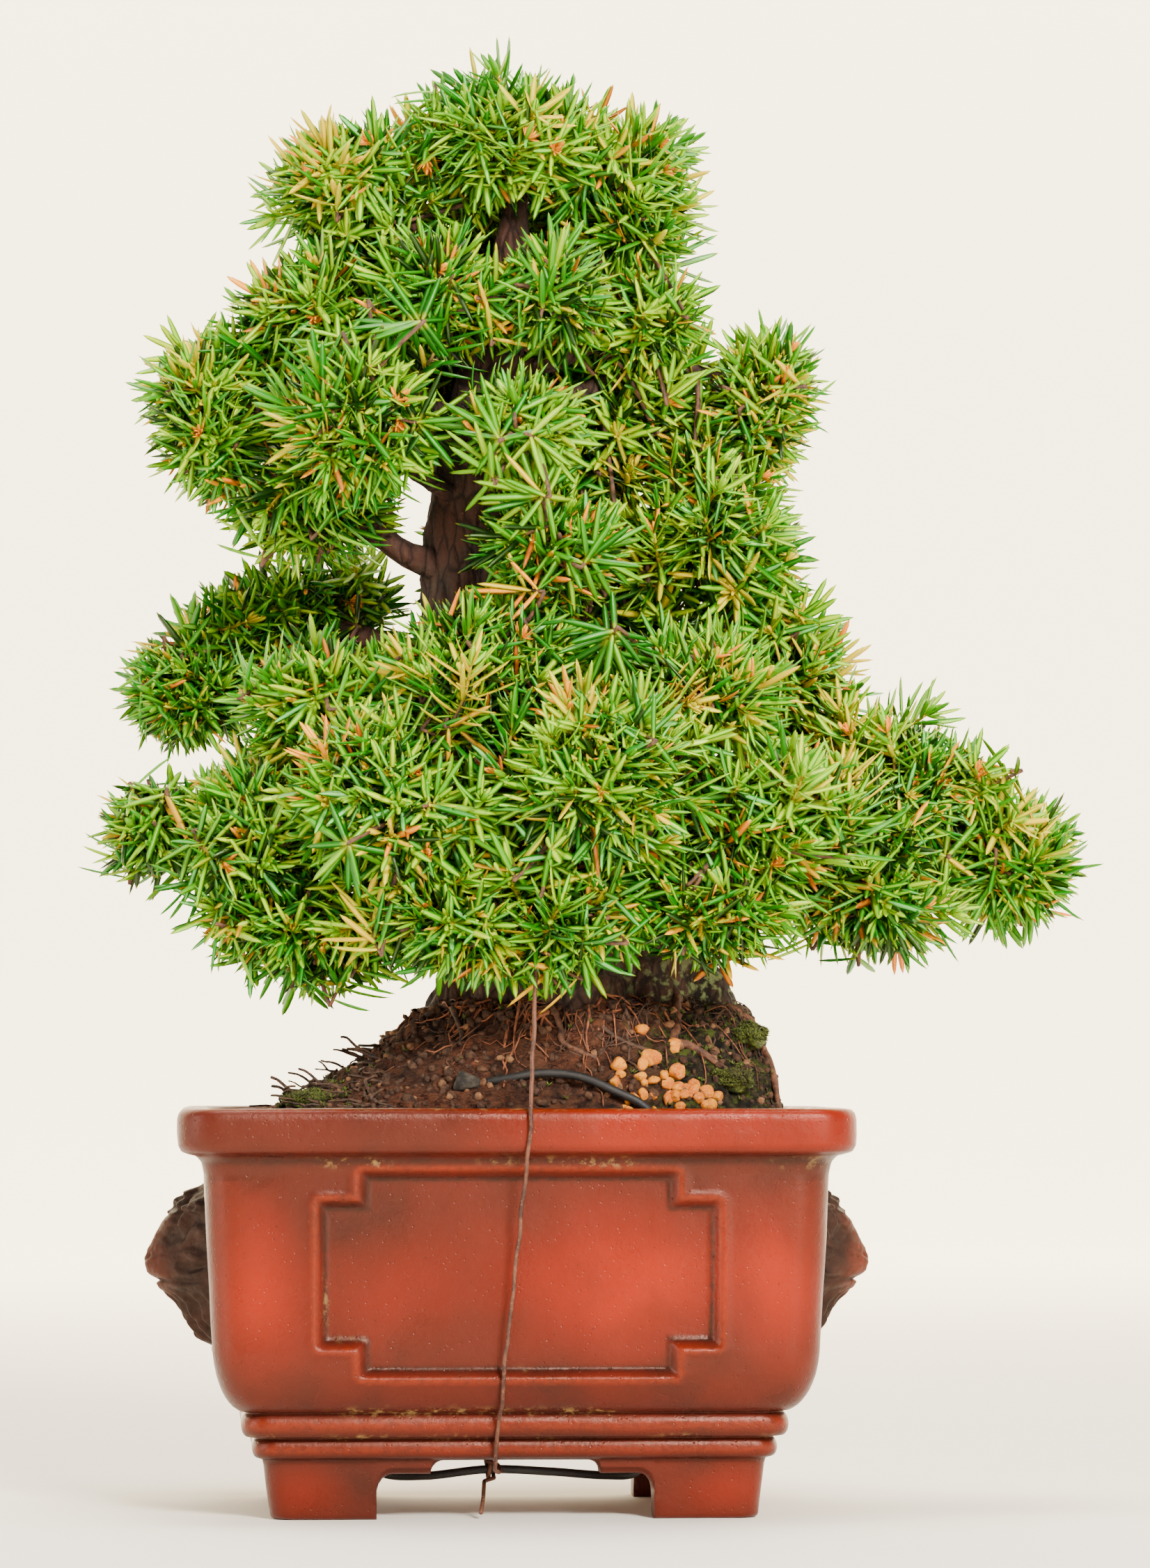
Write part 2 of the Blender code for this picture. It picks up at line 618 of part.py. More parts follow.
def reach(pad, direction):
    """How far a pad's cushion goes from its centre in a direction."""
    local = Matrix.Rotation(math.radians(-pad[3]), 3, "Y") @ direction
    return PAD_FULLNESS / math.sqrt(sum((part / size) ** 2 for part, size in zip(local, pad[2])))


def trim(shape, plane_point, away):
    """Takes off what lies past a plane and closes the cut."""
    result = bmesh.ops.bisect_plane(
        shape,
        geom=shape.verts[:] + shape.edges[:] + shape.faces[:],
        dist=0.01 * MM,
        plane_co=plane_point,
        plane_no=away,
        clear_outer=True,
    )
    edges = [item for item in result["geom_cut"] if isinstance(item, bmesh.types.BMEdge)]
    if edges:
        bmesh.ops.holes_fill(shape, edges=edges, sides=0)


def part_neighbours(shapes):
    """Wherever two pads would meet, both stop at one plane between them."""
    for i, first in enumerate(PADS):
        for j in range(i + 1, len(PADS)):
            second = PADS[j]
            between = Vector(second[1]) - Vector(first[1])
            distance = between.length
            between.normalize()
            near, far = reach(first, between), reach(second, -between)
            if distance > 1.25 * (near + far):
                continue
            middle = Vector(first[1]) + between * (distance * near / (near + far))
            trim(shapes[i], middle * MM - between * GAP, between)
            trim(shapes[j], middle * MM + between * GAP, -between)


def make_foliage(wood_clearance, wire_clearances):
    shapes = [pad_shape(pad[1], pad[2], pad[3], 3.1 * k) for k, pad in enumerate(PADS)]
    part_neighbours(shapes)
    for pad, shape in zip(PADS, shapes):
        cushion = add_mesh("foliage_" + pad[0], shape, "needles", smooth=False)
        cut(cushion, wood_clearance)
        if pad[0] in PADS_ROUND_GUY:
            for clearance in wire_clearances:
                cut(cushion, clearance)


# --- Soil, root mat and what grows or lies on it ---

MAT_POINTS = 22
# Height, how far the mat reaches to the left, the right, the front and the back, and how square it is.
MAT_LEVELS = (
    (80.5, 52, 57, 43.5, 43.5, 0.35),
    (84.5, 50.5, 57, 42.8, 42.5, 0.35),
    (88.0, 42, 56.5, 39.5, 40, 0.3),
    (92.5, 34, 55.5, 36, 37, 0.2),
    (97.0, 28, 54.5, 32.5, 35, 0.1),
    (101.5, 23, 53, 29, 33, 0.0),
    (105.0, 19.5, 51, 26, 31, 0.0),
)


def squared(turn, square):
    """A cosine or sine pushed out towards the corners of a square."""
    return math.copysign(abs(turn) ** (1 - square), turn)


def mat_rings(clearance):
    rings = []
    for height, left, right, front, back, square in MAT_LEVELS:
        centre_x, half_x = (right - left) / 2, (right + left) / 2 + clearance
        centre_y, half_y = (back - front) / 2, (back + front) / 2 + clearance
        ring = []
        for k in range(MAT_POINTS):
            angle = math.radians(360) * k / MAT_POINTS
            ripple = 1.2 * noise.noise(Vector((3 * math.cos(angle), 3 * math.sin(angle), height * 0.12)))
            x = centre_x + (half_x + ripple) * squared(math.cos(angle), square)
            y = centre_y + (half_y + ripple) * squared(math.sin(angle), square)
            ring.append(mm(x, y, height))
        rings.append(ring)
    return rings


def make_root_mat(wood_clearance, anchor_clearance):
    mat = add_mesh("root_mat", loft(mat_rings(0.0)), "roots")
    cut(mat, wood_clearance)
    cut(mat, anchor_clearance)
    return mat


def mat_envelope():
    """The mat grown by the usual gap: what lies on the mat is cut back to it."""
    rings = mat_rings(GAP / MM)
    rings[0] = [point - mm(0, 0, 1) for point in rings[0]]
    rings[-1] = [point + mm(0, 0, GAP / MM) for point in rings[-1]]
    return add_mesh("mat_envelope", loft(rings), "cutter")


def make_soil(wood_clearance, anchor_clearance):
    """Fills the pot to just under the rim, and stands clear of the walls, screens, clips, roots and wire."""
    profile = [point for point in reversed(inner_profile()) if point[1] < SOIL_TOP]
    rings = [pot_ring(inset, height + GAP, GAP) for inset, height in profile]
    rings += [pot_ring(SOIL_TOP_INSET, SOIL_TOP, GAP)]
    soil = add_mesh("potting_soil", loft(rings), "soil")
    cut(soil, wood_clearance)
    cut(soil, anchor_clearance)
    side_length = SCREEN_SIDE + 2 * GAP
    top = FLOOR_TOP + SCREEN_THICKNESS + 3 * GAP + 2 * CLIP_RADIUS
    bottom = FLOOR_TOP - 2 * MM
    for side in (-1, 1):
        pocket = bmesh.new()
        bmesh.ops.create_cube(pocket, size=1.0)
        bmesh.ops.scale(pocket, verts=pocket.verts, vec=(side_length, side_length, top - bottom))
        bmesh.ops.translate(pocket, verts=pocket.verts, vec=(side * DRAIN_X, 0, (top + bottom) / 2))
        cut(soil, add_mesh("screen_pocket_" + SIDES[side], pocket, "cutter", smooth=False))
    return soil


def lump(name, centre, sizes, role, seed, fineness=2):
    shape = bmesh.new()
    bmesh.ops.create_icosphere(shape, subdivisions=fineness, radius=1.0)
    for vertex in shape.verts:
        vertex.co *= 1 + 0.25 * noise.noise(vertex.co * 1.3 + Vector((seed, seed, 0)))
    bmesh.ops.scale(shape, verts=shape.verts, vec=mm(*sizes))
    bmesh.ops.translate(shape, verts=shape.verts, vec=centre)
    return add_mesh(name, shape, role)


# Name, place on the mat seen from above, and half sizes, in millimetres.
MOSS = (
    ("moss_left", (-44, -24), (7, 7, 3.2)),
    ("moss_right", (51, -12), (6.5, 8, 4.5)),
    ("moss_front_right", (46, -28.5), (5.5, 5.5, 3.5)),
)
STONES = (("dark_stone", (-10.5, -37.5), (3.2, 2.6, 2.6)),)
GRAINS = (
    ("akadama_grain_1", (21.5, -35.5), (2.2, 1.8, 1.6)),
    ("akadama_grain_2", (28.0, -33.5), (2.6, 2.1, 2.0)),
    ("akadama_grain_3", (33.5, -35.0), (2.2, 2.0, 1.8)),
    ("akadama_grain_4", (33.0, -29.5), (2.4, 1.8, 1.8)),
    ("akadama_grain_5", (26.5, -28.5), (1.9, 1.6, 1.5)),
    ("akadama_grain_6", (39.5, -35.5), (1.9, 1.9, 1.6)),
)


def make_mat_cover(envelope):
    """Moss, a stone and clay grains, each let a little into the mat's surface and cut back to it."""
    skin = envelope.data
    below = BVHTree.FromPolygons([v.co for v in skin.vertices], [f.vertices for f in skin.polygons])
    for role, table, sunk in (("moss", MOSS, 0.3), ("stone", STONES, 0.5), ("grain", GRAINS, 0.5)):
        for number, (name, (x, y), sizes) in enumerate(table):
            place_at, *_ = below.ray_cast(mm(x, y, 200), Vector((0, 0, -1)))
            centre = place_at + mm(0, 0, sizes[2] * sunk)
            item = lump(name, centre, sizes, role, 2.3 * number, fineness=1 if role != "moss" else 2)
            cut(item, envelope)


# --- Wires ---

KNOT_PLACE = mm(5, -29, 126)  # where the guy wire is looped round the low front branch
KNOT_LOOP_RADIUS = 2.9 * MM
KNOT_ROOM = 5 * MM  # radius of the space left in the needles round the loop
STRAND_ROOM = 1.6 * MM  # radius of the space left in the needles along the wire
STRAND_DROP = 25 * MM  # how far below the loop the wire is among the needles
TWIST_RADIUS = 1.75 * MM
LOOP_TURNS = 1.5
LOOP_STEPS = 10  # points in each turn
PADS_ROUND_GUY = ("skirt_front_low", "skirt_front", "skirt_front_left")


def anchor_route():
    """From its twist in the mat down one drain hole, under the pot, up the other and over the roots."""
    left, right = -DRAIN_X / MM, DRAIN_X / MM
    return smooth_route(
        mm_route(
            (
                (-9, -35, 88.5),
                (-16, -37, 84),
                (-24, -34, 72),
                (-33, -20, 48),
                (left, 0, 30),
                (left, 0, 20),
                (left, -1, 12.5),
                (left + 3, -7, 7.8),
                (-18, -14, 7.6),
                (-5, -18, 9.2),
                (8, -17, 8.6),
                (20, -12, 7.4),
                (right - 3, -6, 7.6),
                (right, -1, 12.5),
                (right, 0, 20),
                (right, 0, 30),
                (36, -24, 50),
                (33, -38, 72),
                (27.5, -42.2, 84),
                (19.5, -41.4, 88.8),
                (12.5, -39.6, 91.6),
                (5, -38.4, 92.2),
                (-1.5, -37.4, 91.2),
                (-6, -36, 90.4),
            )
        ),
        2,
    )


def coil(centre, axis, radius, start):
    """A short helix about an axis, one wire's width to a turn; start sets where the first point is."""
    axis = axis.normalized()
    across = axis.cross(Vector((0, 0, 1))).normalized()
    up = across.cross(axis)
    pitch = 2 * GUY_RADIUS + GAP
    points = []
    for k in range(round(LOOP_TURNS * LOOP_STEPS) + 1):
        angle = start + math.radians(360) * k / LOOP_STEPS
        along = pitch * (k / LOOP_STEPS - LOOP_TURNS / 2)
        points.append(centre + axis * along + radius * (across * math.cos(angle) + up * math.sin(angle)))
    return points


def guy_route():
    """From its loop round the low front branch, over the rim and down the front to the anchor wire."""
    loop = coil(KNOT_PLACE, mm(-5, -15, -2), KNOT_LOOP_RADIUS, math.radians(0))
    down = mm_route(
        (
            (4.2, -38, 122),
            (3.4, -47, 113),
            (2.4, -53.6, 93),
            (1.9, -55.1, 85.2),
            (1.7, -55.0, 79),
            (0.6, -52.4, 68),
            (-1.0, -49.4, 51),
            (-2.4, -48.1, 38),
            (-3.2, -46.7, 28.5),
            (-3.8, -42.0, 20),
            (-4.2, -39.6, 14.6),
            (-4.3, -37.6, 10.8),
            (-3.4, -30, 9.4),
            (-3.4, -23.4, 10.6),
        )
    )
    twist = coil(mm(-4.6, -17.9, 9.15), mm(13, -1, -0.2), TWIST_RADIUS, math.radians(100))
    tail = mm_route(((-5.9, -21.5, 7.0), (-6.2, -26, 6.8), (-6.6, -30.5, 4.0), (-7.2, -33.5, 1.2)))
    return loop + smooth_route([loop[-1], *down, twist[0]], 2)[2:-1] + twist + smooth_route(tail, 2)


def make_wires():
    anchor = tube("anchor_wire", anchor_route(), ANCHOR_RADIUS, "anchor_wire")
    guy = tube("guy_wire", guy_route(), GUY_RADIUS, "guy_wire", resolution=1)
    for side in (-1, 1):
        tube("screen_clip_" + SIDES[side], clip_route(side), CLIP_RADIUS, "anchor_wire")
    return anchor, guy


def wire_clearance_cutters():
    """The channel that the anchor wire takes, and the room that the guy wire has through the needles."""
    anchor = tube("anchor_clearance", anchor_route(), ANCHOR_RADIUS + GAP, "cutter")
    after_loop = guy_route()[round(LOOP_TURNS * LOOP_STEPS) - 1 :]
    strand = [point for point in after_loop if point.z > KNOT_PLACE.z - STRAND_DROP]
    guy = tube("guy_clearance", strand, STRAND_ROOM, "cutter", resolution=1)
    shape = bmesh.new()
    bmesh.ops.create_icosphere(shape, subdivisions=2, radius=KNOT_ROOM)
    bmesh.ops.translate(shape, verts=shape.verts, vec=KNOT_PLACE)
    return anchor, [guy, add_mesh("knot_clearance", shape, "cutter")]


def centre_on_footprint():
    """Moves every object so that the origin is the middle of the model's box, at its base."""
    bpy.context.view_layer.update()
    graph = bpy.context.evaluated_depsgraph_get()
    corners = []
    for item in COLLECTIONS["bonsai"].objects:
        seen = item.evaluated_get(graph)
        corners += [seen.matrix_world @ vertex.co for vertex in seen.to_mesh().vertices]
    low = Vector([min(corner[k] for corner in corners) for k in range(3)])
    high = Vector([max(corner[k] for corner in corners) for k in range(3)])
    shift = Vector((-(low.x + high.x) / 2, -(low.y + high.y) / 2, -low.z))
    for item in bpy.data.objects:
        item.matrix_world = Matrix.Translation(shift) @ item.matrix_world


def main():
    make_pot()
    for side in (-1, 1):
        make_mask(side)
        make_screen(side)
    make_wires()
    tree_wood("tree_wood", "bark")
    wood_clearance = tree_wood("wood_clearance", "cutter", GAP / MM)
    anchor_clearance, guy_clearances = wire_clearance_cutters()
    make_soil(wood_clearance, anchor_clearance)
    make_root_mat(wood_clearance, anchor_clearance)
    make_mat_cover(mat_envelope())
    make_foliage(wood_clearance, guy_clearances)
    centre_on_footprint()


main()
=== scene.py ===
import math

import bmesh
import bpy
import numpy as np
from mathutils import Matrix, Vector, noise
from mathutils.bvhtree import BVHTree

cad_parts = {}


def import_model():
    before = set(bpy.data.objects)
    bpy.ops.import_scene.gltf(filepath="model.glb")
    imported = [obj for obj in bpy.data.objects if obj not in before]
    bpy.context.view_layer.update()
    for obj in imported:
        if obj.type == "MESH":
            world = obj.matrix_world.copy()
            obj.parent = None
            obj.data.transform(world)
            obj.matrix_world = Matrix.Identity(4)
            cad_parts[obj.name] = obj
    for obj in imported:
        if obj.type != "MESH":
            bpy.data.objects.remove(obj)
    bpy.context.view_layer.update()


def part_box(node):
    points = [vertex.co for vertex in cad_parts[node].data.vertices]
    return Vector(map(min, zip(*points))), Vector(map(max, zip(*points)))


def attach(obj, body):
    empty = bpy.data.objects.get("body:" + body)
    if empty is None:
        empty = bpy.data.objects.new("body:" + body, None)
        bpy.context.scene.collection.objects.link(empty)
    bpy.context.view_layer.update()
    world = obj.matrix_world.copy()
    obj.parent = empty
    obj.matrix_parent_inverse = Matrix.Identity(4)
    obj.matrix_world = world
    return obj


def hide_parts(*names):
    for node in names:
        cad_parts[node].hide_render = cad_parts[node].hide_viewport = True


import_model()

MM = 0.001
RNG = np.random.default_rng(41)
pot_low, pot_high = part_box("pot")
# Everything below is placed in millimetres about the middle of the pot's base.
POT_MIDDLE = np.array([(pot_low[0] + pot_high[0]) / 2, (pot_low[1] + pot_high[1]) / 2, 0.0])


def world(points):
    return np.asarray(points, dtype=float) * MM + POT_MIDDLE


def node_box(node):
    """The middle and the half sizes of a CAD node, in millimetres."""
    low, high = ((np.array(corner) - POT_MIDDLE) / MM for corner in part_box(node))
    return (low + high) / 2, (high - low) / 2


def unit(vectors):
    vectors = np.asarray(vectors, dtype=float)
    return vectors / np.maximum(np.linalg.norm(vectors, axis=-1, keepdims=True), 1e-9)


def smoothstep(low, high, value):
    t = np.clip((value - low) / (high - low), 0.0, 1.0)
    return t * t * (3 - 2 * t)


def band(values, middle, half):
    """1 where the values are at the middle of a band, falling to 0 outside it."""
    return np.exp(-(((values - middle) / half) ** 2))


def fbm(points, size, octaves=3, seed=0.0):
    """Fractal noise, roughly -1 to 1, at points in millimetres; size is that of its largest lumps."""
    scaled = np.asarray(points, dtype=float) / size + seed
    return np.array([noise.fractal(p, 1.0, 2.0, octaves) for p in scaled.tolist()])


# --- Meshes ---


def build(name, verts, faces, material, smooth=True, attributes=None):
    """A mesh object from points in millimetres and faces, given as arrays of equal-length rows."""
    groups = faces if isinstance(faces, list) else [faces]
    groups = [np.asarray(group, dtype=np.int32) for group in groups if len(group)]
    mesh = bpy.data.meshes.new(name)
    verts = world(verts)
    mesh.vertices.add(len(verts))
    mesh.vertices.foreach_set("co", verts.astype(np.float32).ravel())
    corners = np.concatenate([group.ravel() for group in groups])
    totals = np.concatenate([np.full(len(group), group.shape[1], dtype=np.int32) for group in groups])
    starts = np.concatenate([[0], np.cumsum(totals)[:-1]]).astype(np.int32)
    mesh.loops.add(len(corners))
    mesh.loops.foreach_set("vertex_index", corners)
    mesh.polygons.add(len(totals))
    mesh.polygons.foreach_set("loop_start", starts)
    mesh.update(calc_edges=True)
    mesh.validate()
    if smooth:
        mesh.shade_smooth()
    for key, values in (attributes or {}).items():
        layer = mesh.attributes.new(key, "FLOAT", "POINT")
        layer.data.foreach_set("value", np.asarray(values, dtype=np.float32))
    mesh.materials.append(material)
    return link(name, mesh)


def link(name, data):
    """A new object in the scene that shows some data."""
    item = bpy.data.objects.new(name, data)
    bpy.context.scene.collection.objects.link(item)
    return item


def from_bmesh(name, shape):
    mesh = bpy.data.meshes.new(name)
    shape.to_mesh(mesh)
    shape.free()
    return link(name, mesh)


def declare(item, slot, *nodes):
    """Puts a piece on the root body and hides the CAD nodes that it replaces; the slot is not used."""
    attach(item, "root")
    if nodes:
        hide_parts(*nodes)
    return item


def grid_faces(rows, columns, wrap_rows=False, wrap_columns=True):
    """The quads between neighbouring points of a grid, closed on itself along a wrapped direction."""
    row = np.arange(rows if wrap_rows else rows - 1)
    column = np.arange(columns if wrap_columns else columns - 1)
    r, c = np.meshgrid(row, column, indexing="ij")
    r2, c2 = (r + 1) % rows, (c + 1) % columns
    quads = [r * columns + c, r * columns + c2, r2 * columns + c2, r2 * columns + c]
    return np.stack(quads, -1).reshape(-1, 4)


def catmull(points, per_span):
    """Points along a smooth curve through the given ones."""
    points = np.asarray(points, dtype=float)
    path = np.vstack([points[:1], points, points[-1:]])
    route = []
    for a, b, c, d in zip(path, path[1:], path[2:], path[3:]):
        for k in range(per_span):
            t = k / per_span
            bend = (2 * a - 5 * b + 4 * c - d) * t**2 + (3 * b - a - 3 * c + d) * t**3
            route.append(0.5 * (2 * b + (c - a) * t + bend))
    return np.array(route + [points[-1]])


class Batch:
    """Gathers many small shapes into one mesh."""

    def __init__(self):
        self.verts, self.quads, self.tris, self.count = [], [], [], 0
        self.values = []

    def add(self, verts, quads=(), tris=(), value=0.0):
        verts = np.asarray(verts, dtype=float)
        self.verts.append(verts)
        if len(quads):
            self.quads.append(np.asarray(quads) + self.count)
        if len(tris):
            self.tris.append(np.asarray(tris) + self.count)
        self.values.append(np.broadcast_to(np.asarray(value, dtype=float), (len(verts),)))
        self.count += len(verts)

    def tube(self, route, radii, sides, value=0.0, roughen=0.0):
        """A round bar along a route, closed at both ends; roughen moves its points, in radii."""
        route = np.asarray(route, dtype=float)
        radii = np.broadcast_to(np.asarray(radii, dtype=float), (len(route),))
        along = unit(np.gradient(route, axis=0))
        across = unit(np.cross(along[0], [0.31, 0.17, 0.93]))
        rings = []
        for k, (point, tangent, radius) in enumerate(zip(route, along, radii)):
            across = unit(across - tangent * np.dot(across, tangent))
            other = np.cross(tangent, across)
            turn = np.arange(sides) * 2 * math.pi / sides
            ring = point + radius * (np.cos(turn)[:, None] * across + np.sin(turn)[:, None] * other)
            if roughen:
                ring += (RNG.random((sides, 3)) - 0.5) * roughen * radius
            rings.append(ring)
        first = route[:1] - along[:1] * radii[0] * 0.3
        last = route[-1:] + along[-1:] * radii[-1] * 0.3
        verts = np.vstack(rings + [first, last])
        n = len(route) * sides
        ends = [(n, (k + 1) % sides, k) for k in range(sides)]
        ends += [(n + 1, n - sides + k, n - sides + (k + 1) % sides) for k in range(sides)]
        self.add(verts, grid_faces(len(route), sides), ends, value)

    def lump(self, centre, sizes, seed, rough, value):
        verts, tris = ICOSPHERES[1]
        turn = Matrix.Rotation(seed * 2.4, 3, Vector((math.sin(seed), math.cos(seed * 1.7), 0.6)))
        swell = 1 + rough * fbm(verts * 1.4, 1.0, 2, seed * 3.1)
        shape = (verts * swell[:, None] * np.asarray(sizes)) @ np.array(turn)
        self.add(shape + np.asarray(centre), tris=tris, value=value)

    def make(self, name, material, smooth=True, key="value"):
        faces = [np.vstack(group) for group in (self.quads, self.tris) if group]
        return build(name, np.vstack(self.verts), faces, material, smooth, {key: np.concatenate(self.values)})


def icosphere(subdivisions):
    shape = bmesh.new()
    bmesh.ops.create_icosphere(shape, subdivisions=subdivisions, radius=1.0)
    verts = np.array([v.co for v in shape.verts])
    tris = np.array([[v.index for v in f.verts] for f in shape.faces])
    shape.free()
    return verts, tris


ICOSPHERES = {k: icosphere(k) for k in (1, 3, 4)}


# --- Materials ---


VIVID = 1.62  # the view transform mutes colours, so the strongest ones are set this much stronger


def srgb(*values, strength=1.0):
    """A colour from its 0 to 255 values; a strength over 1 takes it further from grey."""
    linear = [(v / 255 / 12.92) if v <= 10 else ((v / 255 + 0.055) / 1.055) ** 2.4 for v in values]
    grey = 0.2126 * linear[0] + 0.7152 * linear[1] + 0.0722 * linear[2]
    return tuple(max(0.001, grey + (value - grey) * strength) for value in linear)


def vivid(*values):
    return srgb(*values, strength=VIVID)


class Look:
    """A Principled material built up from procedural textures in object space."""

    def __init__(self, name, roughness=0.6, specular=0.5, **sockets):
        self.material = bpy.data.materials.new(name)
        self.material.use_nodes = True
        self.nodes = self.material.node_tree.nodes
        self.links = self.material.node_tree.links
        self.shader = self.nodes["Principled BSDF"]
        self.shader.inputs["Roughness"].default_value = roughness
        self.shader.inputs["Specular IOR Level"].default_value = specular
        for key, value in sockets.items():
            self.shader.inputs[key.replace("_", " ")].default_value = value
        self.place = None
        self.normal = None

    def node(self, kind, **settings):
        made = self.nodes.new("ShaderNode" + kind)
        for key, value in settings.items():
            setattr(made, key, value)
        return made

    def feed(self, socket, value):
        if isinstance(value, bpy.types.NodeSocket):
            self.links.new(value, socket)
        elif isinstance(value, tuple) and len(value) == 3 and socket.type == "RGBA":
            socket.default_value = (*value, 1.0)
        else:
            socket.default_value = value

    def where(self):
        if self.place is None:
            self.place = self.node("TexCoord").outputs["Object"]
        return self.place

    def stretched(self, scale, vector=None):
        mapping = self.node("Mapping")
        self.feed(mapping.inputs["Vector"], vector or self.where())
        mapping.inputs["Scale"].default_value = scale
        return mapping.outputs["Vector"]

    def noise(self, size, detail=3.0, rough=0.55, vector=None, distortion=0.0):
        """Noise from 0 to 1; size is in millimetres."""
        texture = self.node("TexNoise")
        self.feed(texture.inputs["Vector"], vector or self.where())
        texture.inputs["Scale"].default_value = 1000.0 / size
        texture.inputs["Detail"].default_value = detail
        texture.inputs["Roughness"].default_value = rough
        texture.inputs["Distortion"].default_value = distortion
        return texture.outputs["Fac"]

    def cells(self, size, feature="F1", vector=None):
        texture = self.node("TexVoronoi", feature=feature)
        self.feed(texture.inputs["Vector"], vector or self.where())
        texture.inputs["Scale"].default_value = 1000.0 / size
        return texture.outputs["Distance"]

    def attribute(self, name):
        return self.node("Attribute", attribute_name=name).outputs["Fac"]

    def span(self, value, low, high, out_low=0.0, out_high=1.0):
        """A soft step from out_low to out_high while the value goes from low to high."""
        made = self.node("MapRange", interpolation_type="SMOOTHSTEP")
        for key, number in (("From Min", low), ("From Max", high), ("To Min", out_low), ("To Max", out_high)):
            made.inputs[key].default_value = number
        self.feed(made.inputs["Value"], value)
        return made.outputs["Result"]

    def math(self, operation, first, second=0.0):
        made = self.node("Math", operation=operation)
        self.feed(made.inputs[0], first)
        self.feed(made.inputs[1], second)
        return made.outputs[0]

    def mix(self, factor, first, second, blend="MIX"):
        made = self.node("Mix", data_type="RGBA", blend_type=blend)
        self.feed(made.inputs[0], factor)
        self.feed(made.inputs[6], first)
        self.feed(made.inputs[7], second)
        return made.outputs[2]

    def bands(self, factor, stops):
        """Each colour from its own place on, with no blending."""
        made = self.node("ValToRGB")
        ramp = made.color_ramp
        ramp.interpolation = "CONSTANT"
        while len(ramp.elements) < len(stops):
            ramp.elements.new(0.5)
        for element, (position, colour) in zip(ramp.elements, stops):
            element.position = position
            element.color = (*colour, 1.0)
        self.feed(made.inputs["Fac"], factor)
        return made.outputs["Color"]

    def bump(self, height, distance, strength=1.0):
        """Relief; distance is in millimetres."""
        made = self.node("Bump")
        made.inputs["Strength"].default_value = strength
        made.inputs["Distance"].default_value = distance * MM
        self.feed(made.inputs["Height"], height)
        if self.normal is not None:
            self.feed(made.inputs["Normal"], self.normal)
        self.normal = made.outputs["Normal"]

    def done(self, colour, roughness):
        self.feed(self.shader.inputs["Base Color"], colour)
        self.feed(self.shader.inputs["Roughness"], roughness)
        if self.normal is not None:
            self.feed(self.shader.inputs["Normal"], self.normal)
        return self.material


# --- Foliage looks ---

# Each needle takes one row of this table: the colour of its outer face, then of the band on its inner face.
NEEDLE_ROWS = (
    ((130, 164, 30), (191, 212, 96)),
    ((118, 156, 32), (183, 208, 101)),
    ((142, 174, 34), (199, 220, 96)),
    ((104, 146, 34), (176, 206, 105)),
    ((154, 178, 36), (204, 218, 86)),
    ((91, 136, 36), (168, 202, 110)),
    ((78, 122, 36), (164, 200, 121)),
    ((100, 142, 38), (176, 206, 114)),
    ((68, 114, 36), (155, 194, 118)),
    ((56, 102, 42), (145, 188, 127)),
    ((59, 110, 56), (153, 198, 145)),
    ((50, 92, 38), (118, 158, 103)),
    ((76, 120, 44), (159, 196, 127)),
    ((188, 180, 36), (216, 206, 80)),
    ((204, 182, 44), (224, 204, 84)),
    ((220, 142, 38), (234, 178, 70)),
    ((230, 164, 56), (242, 196, 92)),
    ((144, 86, 44), (172, 120, 70)),
    ((192, 156, 80), (206, 178, 108)),
    ((22, 42, 16), (46, 68, 36)),
)
# Each kind of needle takes the rows from its first number up to its second.
FRESH, MIDDLE, DEEP, YELLOW = (0, 5), (5, 9), (9, 13), (13, 15)
# The last kind is painted shade: nearly black needles for deep inside the foliage.
ORANGE, DEAD, PAINTED_SHADE = (15, 17), (17, 19), (19, 20)
ROW_COUNT = len(NEEDLE_ROWS)


def needle_look():
    look = Look("needles", roughness=0.34, specular=0.6, Specular_Tint=(0.85, 1.0, 0.5, 1.0))
    place = look.node("UVMap", uv_map="OFBake").outputs["UV"]
    split = look.node("SeparateXYZ")
    look.feed(split.inputs[0], place)
    along = split.outputs["X"]
    rows = look.math("MULTIPLY", split.outputs["Y"], float(ROW_COUNT))
    row = look.math("DIVIDE", look.math("ADD", look.math("FLOOR", rows), 0.5), float(ROW_COUNT))
    across = look.math("FRACT", rows)
    stops = [k / ROW_COUNT for k in range(ROW_COUNT)]
    faces = ([vivid(*colour) for colour in face] for face in zip(*NEEDLE_ROWS))
    outer, inner = (look.bands(row, list(zip(stops, colours))) for colours in faces)
    from_band = look.math("ABSOLUTE", look.math("SUBTRACT", across, 0.28))
    band = look.span(from_band, 0.07, 0.15, 0.9, 0.0)
    ends = look.math("MULTIPLY", look.span(along, 0.02, 0.16), look.span(along, 0.88, 0.99, 1.0, 0.0))
    band = look.math("MULTIPLY", band, ends)
    streaks = look.noise(60.0, 3.0, 0.6, look.stretched((1.2, 26.0, 1.0), place))
    shaded = look.mix(look.span(streaks, 0.3, 0.7), outer, (0.82, 0.86, 0.8), "MULTIPLY")
    colour = look.mix(band, shaded, inner)
    keel = look.span(look.math("ABSOLUTE", look.math("SUBTRACT", across, 0.75)), 0.0, 0.07, 0.25, 0.0)
    colour = look.mix(keel, colour, inner)
    young = look.mix(look.span(along, 0.0, 0.2, 0.55, 0.0), colour, vivid(188, 190, 84))
    tip = look.mix(look.span(along, 0.9, 1.0, 0.0, 0.65), young, vivid(176, 178, 74))
    look.bump(streaks, 0.06, 0.5)
    return look.done(tip, look.span(streaks, 0.2, 0.8, 0.28, 0.44))


